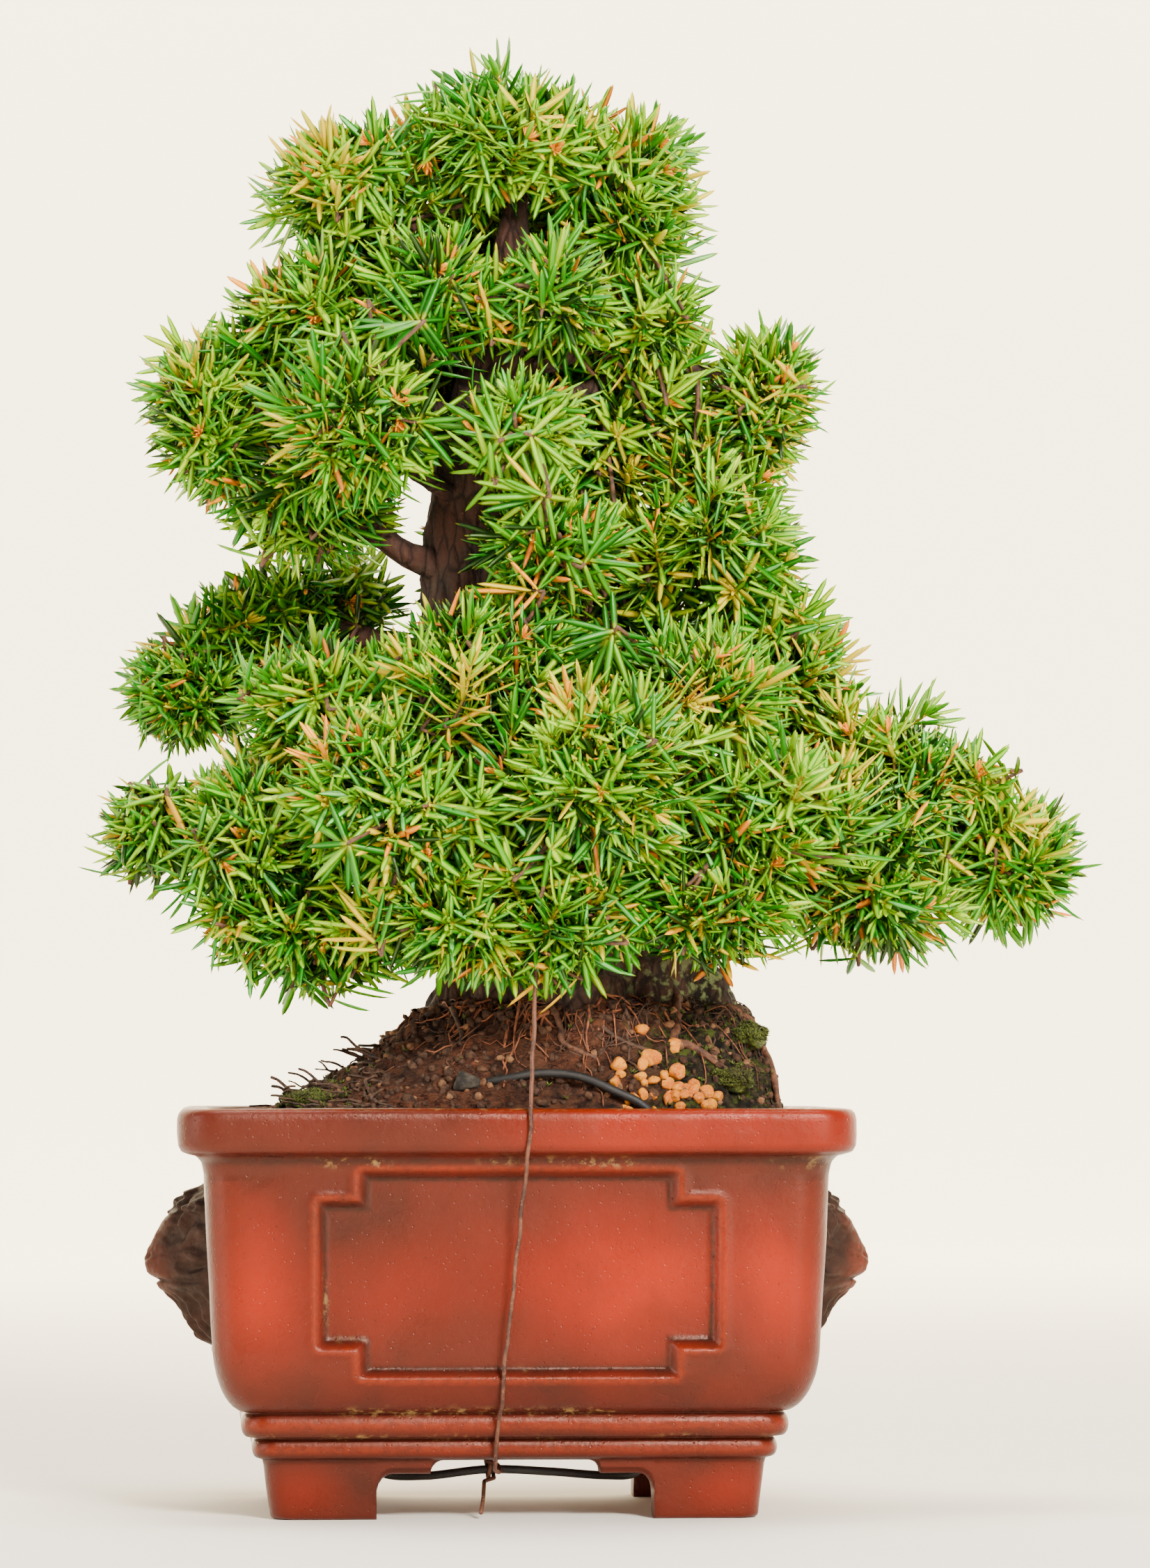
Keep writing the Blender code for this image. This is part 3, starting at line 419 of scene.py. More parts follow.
def twig_look():
    look = Look("twig_bark", roughness=0.8)
    age = look.attribute("value")
    grain = look.noise(1.2, 4.0)
    old = look.mix(look.span(grain, 0.35, 0.65), srgb(62, 40, 28), srgb(112, 76, 50))
    young = look.mix(look.span(grain, 0.3, 0.7), vivid(176, 168, 62), vivid(150, 120, 60))
    look.bump(grain, 0.25)
    return look.done(look.mix(look.span(age, 0.45, 0.8), old, young), look.span(grain, 0.2, 0.8, 0.6, 0.9))


def bark_look():
    look = Look("trunk_bark", roughness=0.9, specular=0.3)
    stretch = look.stretched((1.0, 1.0, 0.38))
    plates = look.noise(6.0, 6.0, 0.62, stretch, 0.6)
    cracks = look.cells(3.4, "DISTANCE_TO_EDGE", stretch)
    fine = look.noise(1.1, 4.0, 0.7)
    dark = look.mix(look.span(plates, 0.32, 0.68), srgb(24, 17, 14), srgb(82, 60, 49))
    warm = look.mix(look.span(look.noise(14.0, 3.0), 0.42, 0.62), dark, srgb(72, 44, 34))
    pale = look.mix(look.span(fine, 0.62, 0.8, 0.0, 0.6), warm, srgb(146, 126, 108))
    groove = look.mix(look.span(cracks, 0.0, 0.12, 0.75, 0.0), pale, srgb(20, 14, 11))
    lichen_area = look.math("MULTIPLY", look.attribute("lichen"), look.span(look.noise(2.6, 5.0), 0.5, 0.62))
    colour = look.mix(lichen_area, groove, srgb(122, 132, 84))
    look.bump(plates, 1.6, 0.9)
    look.bump(look.span(cracks, 0.0, 0.25), 0.7, 0.8)
    look.bump(fine, 0.35, 0.8)
    return look.done(colour, look.span(fine, 0.2, 0.8, 0.75, 1.0))


def root_look():
    look = Look("root_fibre", roughness=0.85, specular=0.35)
    kind = look.attribute("value")
    grain = look.noise(1.4, 4.0)
    red = look.mix(look.span(grain, 0.3, 0.7), srgb(88, 46, 29), srgb(158, 94, 60))
    dark = look.mix(look.span(grain, 0.3, 0.7), srgb(34, 23, 17), srgb(88, 62, 46))
    look.bump(grain, 0.3)
    return look.done(look.mix(look.span(kind, 0.35, 0.65), dark, red), look.span(grain, 0.2, 0.8, 0.6, 0.9))


def mound_look():
    look = Look("root_mound", roughness=0.95, specular=0.2)
    side = look.attribute("value")
    broad = look.noise(16.0, 3.0)
    clumps = look.noise(3.2, 6.0, 0.7, None, 0.8)
    fibres = look.noise(1.3, 5.0, 0.75, look.stretched((0.6, 1.0, 1.5)), 3.0)
    soil = look.mix(look.span(clumps, 0.38, 0.66), srgb(26, 16, 12), srgb(98, 64, 45))
    red = look.mix(look.span(fibres, 0.44, 0.62), soil, srgb(128, 72, 48))
    colour = look.mix(look.span(broad, 0.38, 0.6, 0.2, 0.9), soil, red)
    # Painted shade: the darker soil on the mound's right side and left end.
    shade = look.mix(look.span(clumps, 0.4, 0.66), srgb(20, 16, 12), srgb(72, 60, 44))
    colour = look.mix(side, colour, shade)
    specks = look.mix(look.span(look.noise(0.8, 2.0), 0.7, 0.78), colour, srgb(140, 112, 84))
    green = look.math("MULTIPLY", side, look.span(look.noise(3.0, 5.0, 0.7), 0.5, 0.6))
    final = look.mix(green, specks, srgb(78, 88, 32))
    look.bump(clumps, 1.6, 1.0)
    look.bump(fibres, 0.8, 1.0)
    return look.done(final, look.span(clumps, 0.2, 0.8, 0.8, 1.0))


def soil_look():
    look = Look("soil_crumb", roughness=0.95, specular=0.25)
    tone = look.attribute("value")
    grain = look.noise(1.0, 5.0, 0.7)
    base = look.mix(look.span(grain, 0.3, 0.7), srgb(34, 23, 17), srgb(88, 60, 44))
    pale = look.mix(look.span(grain, 0.3, 0.7), srgb(102, 68, 46), srgb(150, 106, 72))
    look.bump(grain, 0.5)
    return look.done(look.mix(look.span(tone, 0.7, 0.9), base, pale), look.span(grain, 0.2, 0.8, 0.8, 1.0))


def moss_look():
    look = Look("moss", roughness=0.75, specular=0.3)
    tone = look.attribute("value")
    grain = look.noise(0.9, 3.0)
    low = look.mix(tone, srgb(22, 27, 11), srgb(72, 84, 26))
    colour = look.mix(look.span(grain, 0.35, 0.7), low, srgb(104, 112, 42))
    colour = look.mix(look.span(look.noise(7.0, 2.0), 0.45, 0.65, 0.0, 0.6), colour, srgb(58, 46, 26))
    look.bump(grain, 0.2)
    return look.done(colour, look.span(grain, 0.2, 0.8, 0.65, 0.9))


def grain_look():
    look = Look("akadama_clay", roughness=0.9, specular=0.25)
    broad = look.noise(3.0, 3.0)
    fine = look.noise(0.5, 4.0, 0.7)
    base = look.mix(look.span(broad, 0.35, 0.65), vivid(178, 112, 50), vivid(206, 150, 82))
    pale = look.mix(look.span(fine, 0.45, 0.75, 0.0, 0.5), base, srgb(228, 190, 128))
    colour = look.mix(look.span(look.noise(1.2, 3.0), 0.6, 0.72, 0.0, 0.7), pale, srgb(120, 66, 34))
    look.bump(fine, 0.3)
    look.bump(broad, 0.6)
    return look.done(colour, look.span(fine, 0.2, 0.8, 0.8, 1.0))


def stone_look():
    look = Look("dark_stone", roughness=0.8, specular=0.35)
    broad = look.noise(2.4, 4.0)
    fine = look.noise(0.5, 4.0, 0.7)
    base = look.mix(look.span(broad, 0.35, 0.65), srgb(30, 26, 22), srgb(72, 64, 54))
    colour = look.mix(look.span(fine, 0.6, 0.8, 0.0, 0.6), base, srgb(150, 142, 128))
    look.bump(fine, 0.25)
    return look.done(colour, look.span(fine, 0.2, 0.8, 0.7, 0.95))


def wire_look(name, dark, light, rust, roughness, metallic):
    look = Look(name, roughness=roughness, Metallic=metallic)
    broad = look.noise(5.0, 3.0)
    fine = look.noise(0.6, 4.0, 0.7)
    base = look.mix(look.span(broad, 0.35, 0.65), dark, light)
    colour = look.mix(look.span(fine, 0.5, 0.7, 0.0, 0.8), base, rust)
    look.bump(fine, 0.08)
    return look.done(colour, look.span(fine, 0.2, 0.8, roughness - 0.1, roughness + 0.15))


def plastic_look():
    look = Look("screen_plastic", roughness=0.55)
    fine = look.noise(0.8, 4.0, 0.7)
    look.bump(fine, 0.05)
    colour = look.mix(look.span(fine, 0.4, 0.7), srgb(22, 22, 22), srgb(58, 50, 42))
    return look.done(colour, look.span(fine, 0.2, 0.8, 0.45, 0.7))


def clay_look():
    look = Look("burnished_clay", roughness=0.34, specular=0.36, Specular_Tint=(1.0, 0.58, 0.46, 1.0))
    broad = look.noise(46.0, 3.0, 0.5, None, 0.4)
    cloud = look.noise(13.0, 3.0, 0.5, None, 0.15)
    fine = look.noise(1.5, 5.0, 0.7)
    pits = look.cells(1.5)
    base = look.mix(look.span(broad, 0.36, 0.64), vivid(100, 40, 22), vivid(122, 50, 29))
    base = look.mix(look.span(cloud, 0.45, 0.78, 0.0, 0.5), base, vivid(76, 34, 20))
    # Dark brown, partly patina and partly painted shade, everywhere but the painted highlights.
    patina_and_painted_light = look.math("MULTIPLY", look.attribute("patina_and_painted_light"), look.span(cloud, 0.2, 0.75, 1.0, 0.78))
    base = look.mix(patina_and_painted_light, base, srgb(42, 23, 17))
    worn = look.math("MULTIPLY", look.attribute("edge"), look.span(fine, 0.35, 0.6, 0.25, 0.75))
    base = look.mix(worn, base, vivid(132, 62, 34))
    # Painted shade in the grooves, under the rim and inside the panel's edge.
    hollow_shade = look.math("MULTIPLY", look.attribute("hollow_shade"), look.span(fine, 0.3, 0.6, 0.5, 1.0))
    base = look.mix(hollow_shade, base, srgb(30, 17, 12))
    bloom = look.math("MULTIPLY", look.attribute("bloom"), look.span(look.noise(2.2, 5.0, 0.7), 0.5, 0.64))
    base = look.mix(bloom, base, srgb(142, 112, 66))
    flecks = look.span(look.noise(0.9, 2.0), 0.68, 0.78, 0.0, 0.6)
    colour = look.mix(flecks, base, srgb(40, 21, 16))
    look.bump(look.span(pits, 0.0, 0.22), 0.1, 0.9)
    look.bump(fine, 0.16, 0.8)
    look.bump(cloud, 0.6, 0.4)
    rough = look.span(cloud, 0.3, 0.75, 0.26, 0.42)
    return look.done(colour, look.math("ADD", rough, look.math("MULTIPLY", bloom, 0.35)))


def mask_look():
    look = Look("dark_clay", roughness=0.5, specular=0.35, Specular_Tint=(1.0, 0.6, 0.45, 1.0))
    cloud = look.noise(7.0, 4.0, 0.6)
    fine = look.noise(0.9, 5.0, 0.7)
    base = look.mix(look.span(cloud, 0.35, 0.65), srgb(18, 11, 9), srgb(42, 24, 19))
    red = look.math("MULTIPLY", look.attribute("worn"), look.span(fine, 0.3, 0.65, 0.4, 1.0))
    base = look.mix(red, base, srgb(104, 46, 32))
    # Painted shade in the hollows of the relief.
    crease_shade = look.math("MULTIPLY", look.attribute("hollow_shade"), look.span(fine, 0.4, 0.6))
    colour = look.mix(look.math("MULTIPLY", crease_shade, 0.6), base, srgb(18, 13, 12))
    look.bump(fine, 0.2, 0.8)
    return look.done(colour, look.span(fine, 0.2, 0.8, 0.42, 0.68))


LOOKS = {
    "needles": needle_look(),
    "twig": twig_look(),
    "bark": bark_look(),
    "root": root_look(),
    "mound": mound_look(),
    "soil": soil_look(),
    "moss": moss_look(),
    "grain": grain_look(),
    "stone": stone_look(),
    "anchor": wire_look("black_wire", srgb(14, 13, 13), srgb(28, 25, 24), srgb(50, 36, 28), 0.58, 0.0),
    "guy": wire_look("rusty_wire", srgb(62, 36, 28), srgb(104, 64, 46), srgb(142, 92, 64), 0.55, 0.4),
    "screen": plastic_look(),
    "clay": clay_look(),
    "mask": mask_look(),
}


# --- The pot ---

# Heights are from the table, insets from the rim's outline. A bead is its bottom, top, inset and bulge.
# An arch is the distances from a side's middle to the foot, the cusp, the step and the crown.
RIM_LENGTH, RIM_DEPTH, POT_HEIGHT, RIM_BOTTOM = 140.0, 108.0, 85.0, 75.6
WALL_TOP_INSET, WALL_FOOT_INSET, WALL_FOOT_HEIGHT = 5.4, 7.2, 37.0
BELLY_FOOT_INSET, BELLY_FOOT_HEIGHT = 14.2, 22.3
UPPER_BEAD, LOWER_BEAD = (17.2, 22.2, 14.5, 1.4), (12.8, 17.0, 16.6, 1.2)
FOOT_TOP_INSET, FOOT_BOTTOM_INSET, FOOT_ROUND, SKIRT_TOP = 17.8, 19.2, 1.2, 12.4
FLOOR_TOP, FLOOR_BOTTOM, FLOOR_LEDGE = 20.0, 14.0, 3.0
HOLLOW_X, HOLLOW_Y = 41.8, 25.8
PANEL_BOTTOM, PANEL_TOP, PANEL_NOTCH_X, PANEL_NOTCH_Z, PANEL_RECESS = 30.6, 71.4, 8.6, 6.0, 1.6
FRONT_PANEL_HALF, END_PANEL_HALF = 40.6, 28.0
FRONT_ARCH, END_ARCH = (28.8, 25.4, 17.6, 14.8), (17.4, 14.4, 9.6, 7.4)
ARCH_SHOULDER, ARCH_CUSP, ARCH_CROWN = 5.2, 9.4, 12.2
DRAIN_X, DRAIN_RADIUS = 30.0, 6.5
FOOT_CORNER, HOLLOW_CORNER = 4.4, 4.0
INSIDE_PROFILE = ((10.4, 71.0), (12.6, 50.0), (13.6, 36.0), (17.0, 27.0), (21.6, 21.6), (25.0, FLOOR_TOP))
STRAIGHT = 30.0  # up to this far from the middle of a side, the columns of the pot's mesh stand upright


def bead(bottom, top, inset, bulge, steps=10):
    turn = np.linspace(0, math.pi, steps + 1)
    middle, half = (bottom + top) / 2, (top - bottom) / 2
    return [(inset - bulge * math.sin(a), middle - half * math.cos(a)) for a in turn]


def belly(steps=10):
    points = []
    for a in np.linspace(math.pi / 2, 0, steps + 1):
        inset = BELLY_FOOT_INSET - (BELLY_FOOT_INSET - WALL_FOOT_INSET) * math.cos(a)
        points.append((inset, WALL_FOOT_HEIGHT - (WALL_FOOT_HEIGHT - BELLY_FOOT_HEIGHT) * math.sin(a)))
    return points


def wall_profile():
    """From the top of the feet up to the rim: inset and height, evenly smoothed and closely spaced."""
    corners = [
        (FOOT_TOP_INSET, SKIRT_TOP),
        *bead(*LOWER_BEAD),
        *bead(*UPPER_BEAD),
        *belly(),
        (WALL_TOP_INSET + 0.6, 58.0),
        (WALL_TOP_INSET, RIM_BOTTOM - 4.0),
        (WALL_TOP_INSET - 0.5, RIM_BOTTOM - 1.6),
        (WALL_TOP_INSET - 1.6, RIM_BOTTOM - 0.4),
        (2.2, RIM_BOTTOM),
        (0.9, RIM_BOTTOM + 0.5),
        (0.2, RIM_BOTTOM + 1.8),
        (0.0, RIM_BOTTOM + 4.0),
        (0.0, POT_HEIGHT - 2.2),
        (0.25, POT_HEIGHT - 1.0),
        (0.9, POT_HEIGHT - 0.25),
        (1.8, POT_HEIGHT),
        (5.0, POT_HEIGHT),
        (6.0, POT_HEIGHT - 0.5),
        (6.6, POT_HEIGHT - 2.0),
    ]
    points = np.array(corners)
    length = np.concatenate([[0], np.cumsum(np.linalg.norm(np.diff(points, axis=0), axis=1))])
    dense = np.arange(0, length[-1], 0.1)
    inset, height = np.interp(dense, length, points[:, 0]), np.interp(dense, length, points[:, 1])
    kernel = np.hanning(9) / np.hanning(9).sum()
    for values in (inset, height):
        values[4:-4] = np.convolve(values, kernel, "valid")
    wide = np.hanning(23) / np.hanning(23).sum()
    soft = np.convolve(np.pad(inset, 11, "edge"), wide, "valid")
    inset += (soft - inset) * smoothstep(25.0, 23.0, height)
    fine = (np.abs(height - 33.5) < 4.2) | (np.abs(height - 68.5) < 4.2) | (height < 23) | (height > 72)
    picked, travelled = [0], 0.0
    for k in range(1, len(dense)):
        travelled += 0.1
        if travelled >= (0.5 if fine[k] else 1.25):
            picked.append(k)
            travelled = 0.0
    return list(zip(inset[picked], height[picked]))


def side_columns(panel_half, arch, limit):
    """Distances from a side's middle to its columns, from 0 out to the corner's start."""
    foot, cusp, step, crown = arch
    marks = list(np.arange(0, panel_half - PANEL_NOTCH_X - 1.5, 1.25))
    marks += list(np.arange(panel_half - PANEL_NOTCH_X - 1.5, panel_half + 1.6, 0.5))
    marks += list(np.linspace(panel_half + 2.2, limit, 5))
    marks += [crown, step - 0.01, step + 0.01, cusp, foot - 0.01, foot + 0.01]
    marks += list(crown + (step - crown) * np.sin(np.linspace(0.3, 1.4, 4)))
    marks += list(cusp + (foot - cusp) * np.sin(np.linspace(0.3, 1.4, 4)))
    return np.unique(np.round(marks, 3))


def arch_height(distance, arch):
    """The height of the opening between two feet, at a distance from the side's middle."""
    foot, cusp, step, crown = arch

    def quarter_round(low, high, near, far):
        return low + (high - low) * math.sqrt(1 - ((distance - near) / (far - near)) ** 2)

    if distance > foot:
        return 0.0
    if distance > cusp:
        return quarter_round(ARCH_SHOULDER, ARCH_CUSP, cusp, foot)
    if distance > step:
        return ARCH_CUSP
    if distance > crown:
        return quarter_round(ARCH_CUSP, ARCH_CROWN, crown, step)
    return ARCH_CROWN


CORNER_COLUMNS = 9
FRONT_LIMIT, END_LIMIT = 46.0, 32.0
FRONT_MARKS = side_columns(FRONT_PANEL_HALF, FRONT_ARCH, FRONT_LIMIT)
END_MARKS = side_columns(END_PANEL_HALF, END_ARCH, END_LIMIT)


def ring_outline(half_x, half_y, radius):
    """A rounded rectangle, a point for each column of the pot, anticlockwise from the right end's middle."""

    def spread(marks, nominal, limit):
        straight = min(STRAIGHT, nominal - 3.0)
        moved = straight + (marks - straight) * (limit - straight) / (nominal - straight)
        return np.where(marks > straight, moved, marks)

    end = spread(END_MARKS, END_LIMIT, half_y - radius)
    front = spread(FRONT_MARKS, FRONT_LIMIT, half_x - radius)
    turn = np.linspace(0, math.pi / 2, CORNER_COLUMNS + 2)[1:-1]
    corner_x, corner_y = half_x - radius + radius * np.cos(turn), half_y - radius + radius * np.sin(turn)
    quarter_x = np.concatenate([np.full(len(end), half_x), corner_x, front[::-1]])
    quarter_y = np.concatenate([end, corner_y, np.full(len(front), half_y)])
    x = np.concatenate([quarter_x, -quarter_x[::-1][1:], -quarter_x[1:], quarter_x[::-1][1:-1]])
    y = np.concatenate([quarter_y, quarter_y[::-1][1:], -quarter_y[1:], -quarter_y[::-1][1:-1]])
    return x, y


def outline_at(half_x, half_y, radius, height):
    """The outline's points at a height, which is one number or one for each column."""
    x, y = ring_outline(half_x, half_y, radius)
    return np.stack([x, y, np.broadcast_to(height, x.shape)], -1)


def column_heights():
    """Where the apron between the feet ends, for each column."""
    end = [arch_height(m, END_ARCH) for m in END_MARKS]
    front = [arch_height(m, FRONT_ARCH) for m in FRONT_MARKS]
    quarter = np.array(end + [0.0] * CORNER_COLUMNS + front[::-1])
    return np.concatenate([quarter, quarter[::-1][1:], quarter[1:], quarter[::-1][1:-1]])


def panel_distance(along, height, half):
    """Signed distance in millimetres from the outline of a notched panel; negative inside it."""
    middle, rise = (PANEL_BOTTOM + PANEL_TOP) / 2, (PANEL_TOP - PANEL_BOTTOM) / 2

    def from_box(half_width, half_height):
        dx, dz = np.abs(along) - half_width, np.abs(height - middle) - half_height
        return np.hypot(np.maximum(dx, 0), np.maximum(dz, 0)) + np.minimum(np.maximum(dx, dz), 0)

    return np.minimum(from_box(half, rise - PANEL_NOTCH_Z), from_box(half - PANEL_NOTCH_X, rise))


def make_pot():
    heights = column_heights()
    rings, tags = [], []

    def ring(inset, height, tag, radius=None):
        radius = radius or max(9.0 - 0.25 * inset, 3.0)
        rings.append(outline_at(RIM_LENGTH / 2 - inset, RIM_DEPTH / 2 - inset, radius, height))
        tags.append(tag)

    def hollow_ring(shrink, height):
        rings.append(outline_at(HOLLOW_X - shrink, HOLLOW_Y - shrink, HOLLOW_CORNER, height))
        tags.append("inside")

    ring(FOOT_BOTTOM_INSET + FOOT_ROUND, heights, "foot")
    foot_edge = np.minimum(FOOT_ROUND, SKIRT_TOP - heights)
    for t in np.linspace(0.25, 1.0, 4):
        lift, inward = 1 - math.cos(t * math.pi / 2), 1 - math.sin(t * math.pi / 2)
        ring(FOOT_BOTTOM_INSET + FOOT_ROUND * inward, heights + foot_edge * lift, "foot", FOOT_CORNER)
    wide = outline_at(RIM_LENGTH / 2 - FOOT_BOTTOM_INSET, RIM_DEPTH / 2 - FOOT_BOTTOM_INSET, FOOT_CORNER, 0.0)
    top = outline_at(RIM_LENGTH / 2 - FOOT_TOP_INSET, RIM_DEPTH / 2 - FOOT_TOP_INSET, FOOT_CORNER + 0.1, 0.0)
    low = heights + foot_edge
    for t in np.linspace(0, 1, 12)[1:-1]:
        height = low + (SKIRT_TOP - low) * t
        blend = 1 - (SKIRT_TOP - height) / (SKIRT_TOP - FOOT_ROUND)
        level = wide + (top - wide) * blend[:, None]
        level[:, 2] = height
        rings.append(level)
        tags.append("foot")
    for inset, height in wall_profile():
        ring(inset, height, "skin")
    for inset, height in INSIDE_PROFILE:
        ring(inset, height, "inside")
    hollow_ring(FLOOR_LEDGE, FLOOR_TOP)
    hollow_ring(FLOOR_LEDGE, FLOOR_BOTTOM)
    hollow_ring(0.0, FLOOR_BOTTOM)
    for t in (0.3, 0.6, 0.85):
        hollow_ring(0.0, FLOOR_BOTTOM + (heights - FLOOR_BOTTOM) * t)
    hollow_ring(0.4, heights + 0.25)
    hollow_ring(-0.5, heights)

    points = np.array(rings)
    x, y, z = points[..., 0], points[..., 1], points[..., 2]
    skin = np.array([tag == "skin" for tag in tags])[:, None] & (z < RIM_BOTTOM - 1)
    facing_front = skin & (np.abs(x) < 44) & (np.abs(y) > 30)
    facing_end = skin & (np.abs(y) < 31) & (np.abs(x) > 50)
    distance = np.full(x.shape, 99.0)
    distance[facing_front] = panel_distance(x[facing_front], z[facing_front], FRONT_PANEL_HALF)
    distance[facing_end] = panel_distance(y[facing_end], z[facing_end], END_PANEL_HALF)
    # The panel is drawn a little deeper than it is, with a raised lip round it.
    depth = 1.35 * PANEL_RECESS * smoothstep(1.1, -1.3, distance) - 0.35 * band(distance, 1.7, 0.8)
    points[..., 1] -= np.where(facing_front, np.sign(y) * depth, 0.0)
    points[..., 0] -= np.where(facing_end, np.sign(x) * depth, 0.0)

    flat = points.reshape(-1, 3)
    unevenness = 0.32 * fbm(flat, 34.0, 2) + 0.10 * fbm(flat, 9.0, 2, 7.0)
    outwards = unit(np.stack([flat[:, 0] / RIM_LENGTH, flat[:, 1] / RIM_DEPTH, flat[:, 2] * 0], -1))
    keep_level = smoothstep(0.0, 3.0, flat[:, 2])
    flat = flat + outwards * (unevenness * keep_level)[:, None]
    flat[:, 2] += 0.18 * fbm(flat * (1, 1, 0), 40.0, 1, 3.0) * smoothstep(70.0, 85.0, flat[:, 2])

    rows, columns = points.shape[:2]
    d = distance.ravel()
    z = flat[:, 2]
    reach = np.abs(flat[:, 0]) / (RIM_LENGTH / 2) + np.abs(flat[:, 1]) / (RIM_DEPTH / 2)
    corner = smoothstep(1.62, 1.9, reach)
    lip = band(d, 1.3, 0.7)
    gutter = band(d, -0.9, 0.6)
    edge = 0.55 * lip + 0.5 * band(z, 20.0, 1.2) + 0.4 * band(z, 14.8, 1.0)
    edge += 0.4 * band(z, POT_HEIGHT, 0.6) + 0.3 * corner * (z < 70)
    # Painted shade in the grooves beside the beads, under the rim and just inside the panel's edge.
    hollow_shade = gutter + 0.5 * band(z, 22.4, 0.9) + 0.5 * band(z, 17.0, 0.8)
    hollow_shade += 0.5 * band(z, 12.7, 0.8) + 0.7 * band(z, 74.2, 0.9)

    def patch(x, level, wide, tall):
        return band(flat[:, 0], x, wide) * band(z, level, tall)

    # Painted highlights: these places are kept bright red where the light falls; the brown elsewhere is
    # partly patina and partly painted shade.
    painted_highlight = 1.15 * patch(19, 50, 26, 13) + 0.8 * patch(-53, 48, 8, 14) + 0.85 * patch(55, 49, 8, 15)
    painted_highlight += 0.45 * patch(-28, 48, 14, 10) + 0.55 * patch(-44, 6, 9, 6) + 0.5 * patch(45, 6, 10, 6)
    painted_highlight += 0.85 * smoothstep(-25.0, 40.0, flat[:, 0]) * smoothstep(75.0, 78.0, z)
    patina_and_painted_light = 0.95 * (1 - np.clip(painted_highlight, 0, 1)) + 0.14 * fbm(flat, 24.0, 2, 9.0)
    patina_and_painted_light = np.clip(patina_and_painted_light, 0, 0.9)
    bloom = 0.9 * band(z, 22.6, 0.7) * smoothstep(0.1, 0.5, fbm(flat, 30.0, 2, 11.0))
    bloom += 0.8 * band(z, 74.0, 1.0) * smoothstep(0.0, 0.4, fbm(flat, 24.0, 2, 5.0))
    bloom += 0.8 * band(z, 17.2, 0.6) * smoothstep(0.0, 0.4, fbm(flat, 26.0, 2, 17.0))
    bloom += 0.6 * gutter * smoothstep(0.1, 0.5, fbm(flat, 18.0, 2, 23.0))
    bloom += 0.7 * band(z, POT_HEIGHT, 0.35)
    values = {"edge": edge, "hollow_shade": hollow_shade, "patina_and_painted_light": patina_and_painted_light, "bloom": bloom}
    values = {key: np.clip(value, 0, 1) for key, value in values.items()}
    faces = grid_faces(rows, columns, wrap_rows=True)[:, ::-1]
    declare(build("pot_body", flat, faces, LOOKS["clay"], True, values), "pot_clay", "pot")
    make_pot_floor()


def make_pot_floor():
    """The plate that closes the pot, with its two drain holes."""
    shape = bmesh.new()
    bmesh.ops.create_cube(shape, size=1.0)
    half_x, half_y = HOLLOW_X - FLOOR_LEDGE + 1.0, HOLLOW_Y - FLOOR_LEDGE + 1.0
    bmesh.ops.scale(shape, verts=shape.verts, vec=(2 * half_x * MM, 2 * half_y * MM, 5.9 * MM))
    bmesh.ops.translate(shape, verts=shape.verts, vec=world((0, 0, (FLOOR_TOP + FLOOR_BOTTOM) / 2)))
    plate = from_bmesh("pot_floor", shape)
    radii = {"radius1": DRAIN_RADIUS * MM, "radius2": DRAIN_RADIUS * MM}
    for side in (-1, 1):
        drill = bmesh.new()
        bmesh.ops.create_cone(drill, cap_ends=True, segments=48, depth=20 * MM, **radii)
        bmesh.ops.translate(drill, verts=drill.verts, vec=world((side * DRAIN_X, 0, FLOOR_TOP)))
        cutter = from_bmesh("drill", drill)
        modifier = plate.modifiers.new("hole", "BOOLEAN")
        modifier.object = cutter
        modifier.solver = "EXACT"
        apply_modifiers(plate)
        bpy.data.objects.remove(cutter, do_unlink=True)
    plate.data.materials.append(LOOKS["clay"])
    declare(plate, "pot_clay")


def apply_modifiers(item):
    graph = bpy.context.evaluated_depsgraph_get()
    mesh = bpy.data.meshes.new_from_object(item.evaluated_get(graph))
    item.modifiers.clear()
    item.data = mesh


make_pot()

# --- The masks ---

MASK_BOTTOM, MASK_TOP = 34.0, 68.8
# Height, reach out from the wall, half width at the wall and at the front of each level of a mask.
MASK_LEVELS = np.array(
    (
        (34.0, 1.6, 2.6, 1.6),
        (36.0, 4.6, 4.8, 2.6),
        (40.0, 6.8, 7.2, 3.2),
        (43.6, 9.0, 8.6, 3.8),
        (46.6, 12.4, 9.6, 4.6),
        (50.0, 15.0, 10.4, 5.2),
        (53.0, 15.4, 11.0, 5.0),
        (57.0, 13.6, 11.4, 4.4),
        (60.5, 11.2, 11.6, 5.0),
        (64.0, 8.6, 11.2, 6.2),
        (67.0, 5.6, 9.2, 5.4),
        (68.8, 2.6, 6.0, 3.6),
    )
)


# How far each feature stands out, then its place and half sizes, across and up.
MASK_FEATURES = (
    (1.5, 4.4, 60.6, 2.6, 1.3),  # brows
    (-1.9, 4.2, 57.6, 2.0, 1.4),  # eye sockets
    (1.2, 4.2, 57.5, 0.9, 0.8),  # eyes
    (0.9, 2.5, 51.8, 1.3, 1.6),  # nose
    (-0.9, 1.7, 53.4, 0.6, 0.6),  # nostrils
    (-1.5, 0.0, 48.4, 5.4, 0.55),  # mouth
    (0.8, 5.2, 48.6, 1.6, 2.2),  # cheeks
    (1.4, 8.6, 64.2, 1.7, 2.0),  # ears
    (-1.2, 8.7, 64.0, 0.8, 1.1),  # hollows of the ears
)


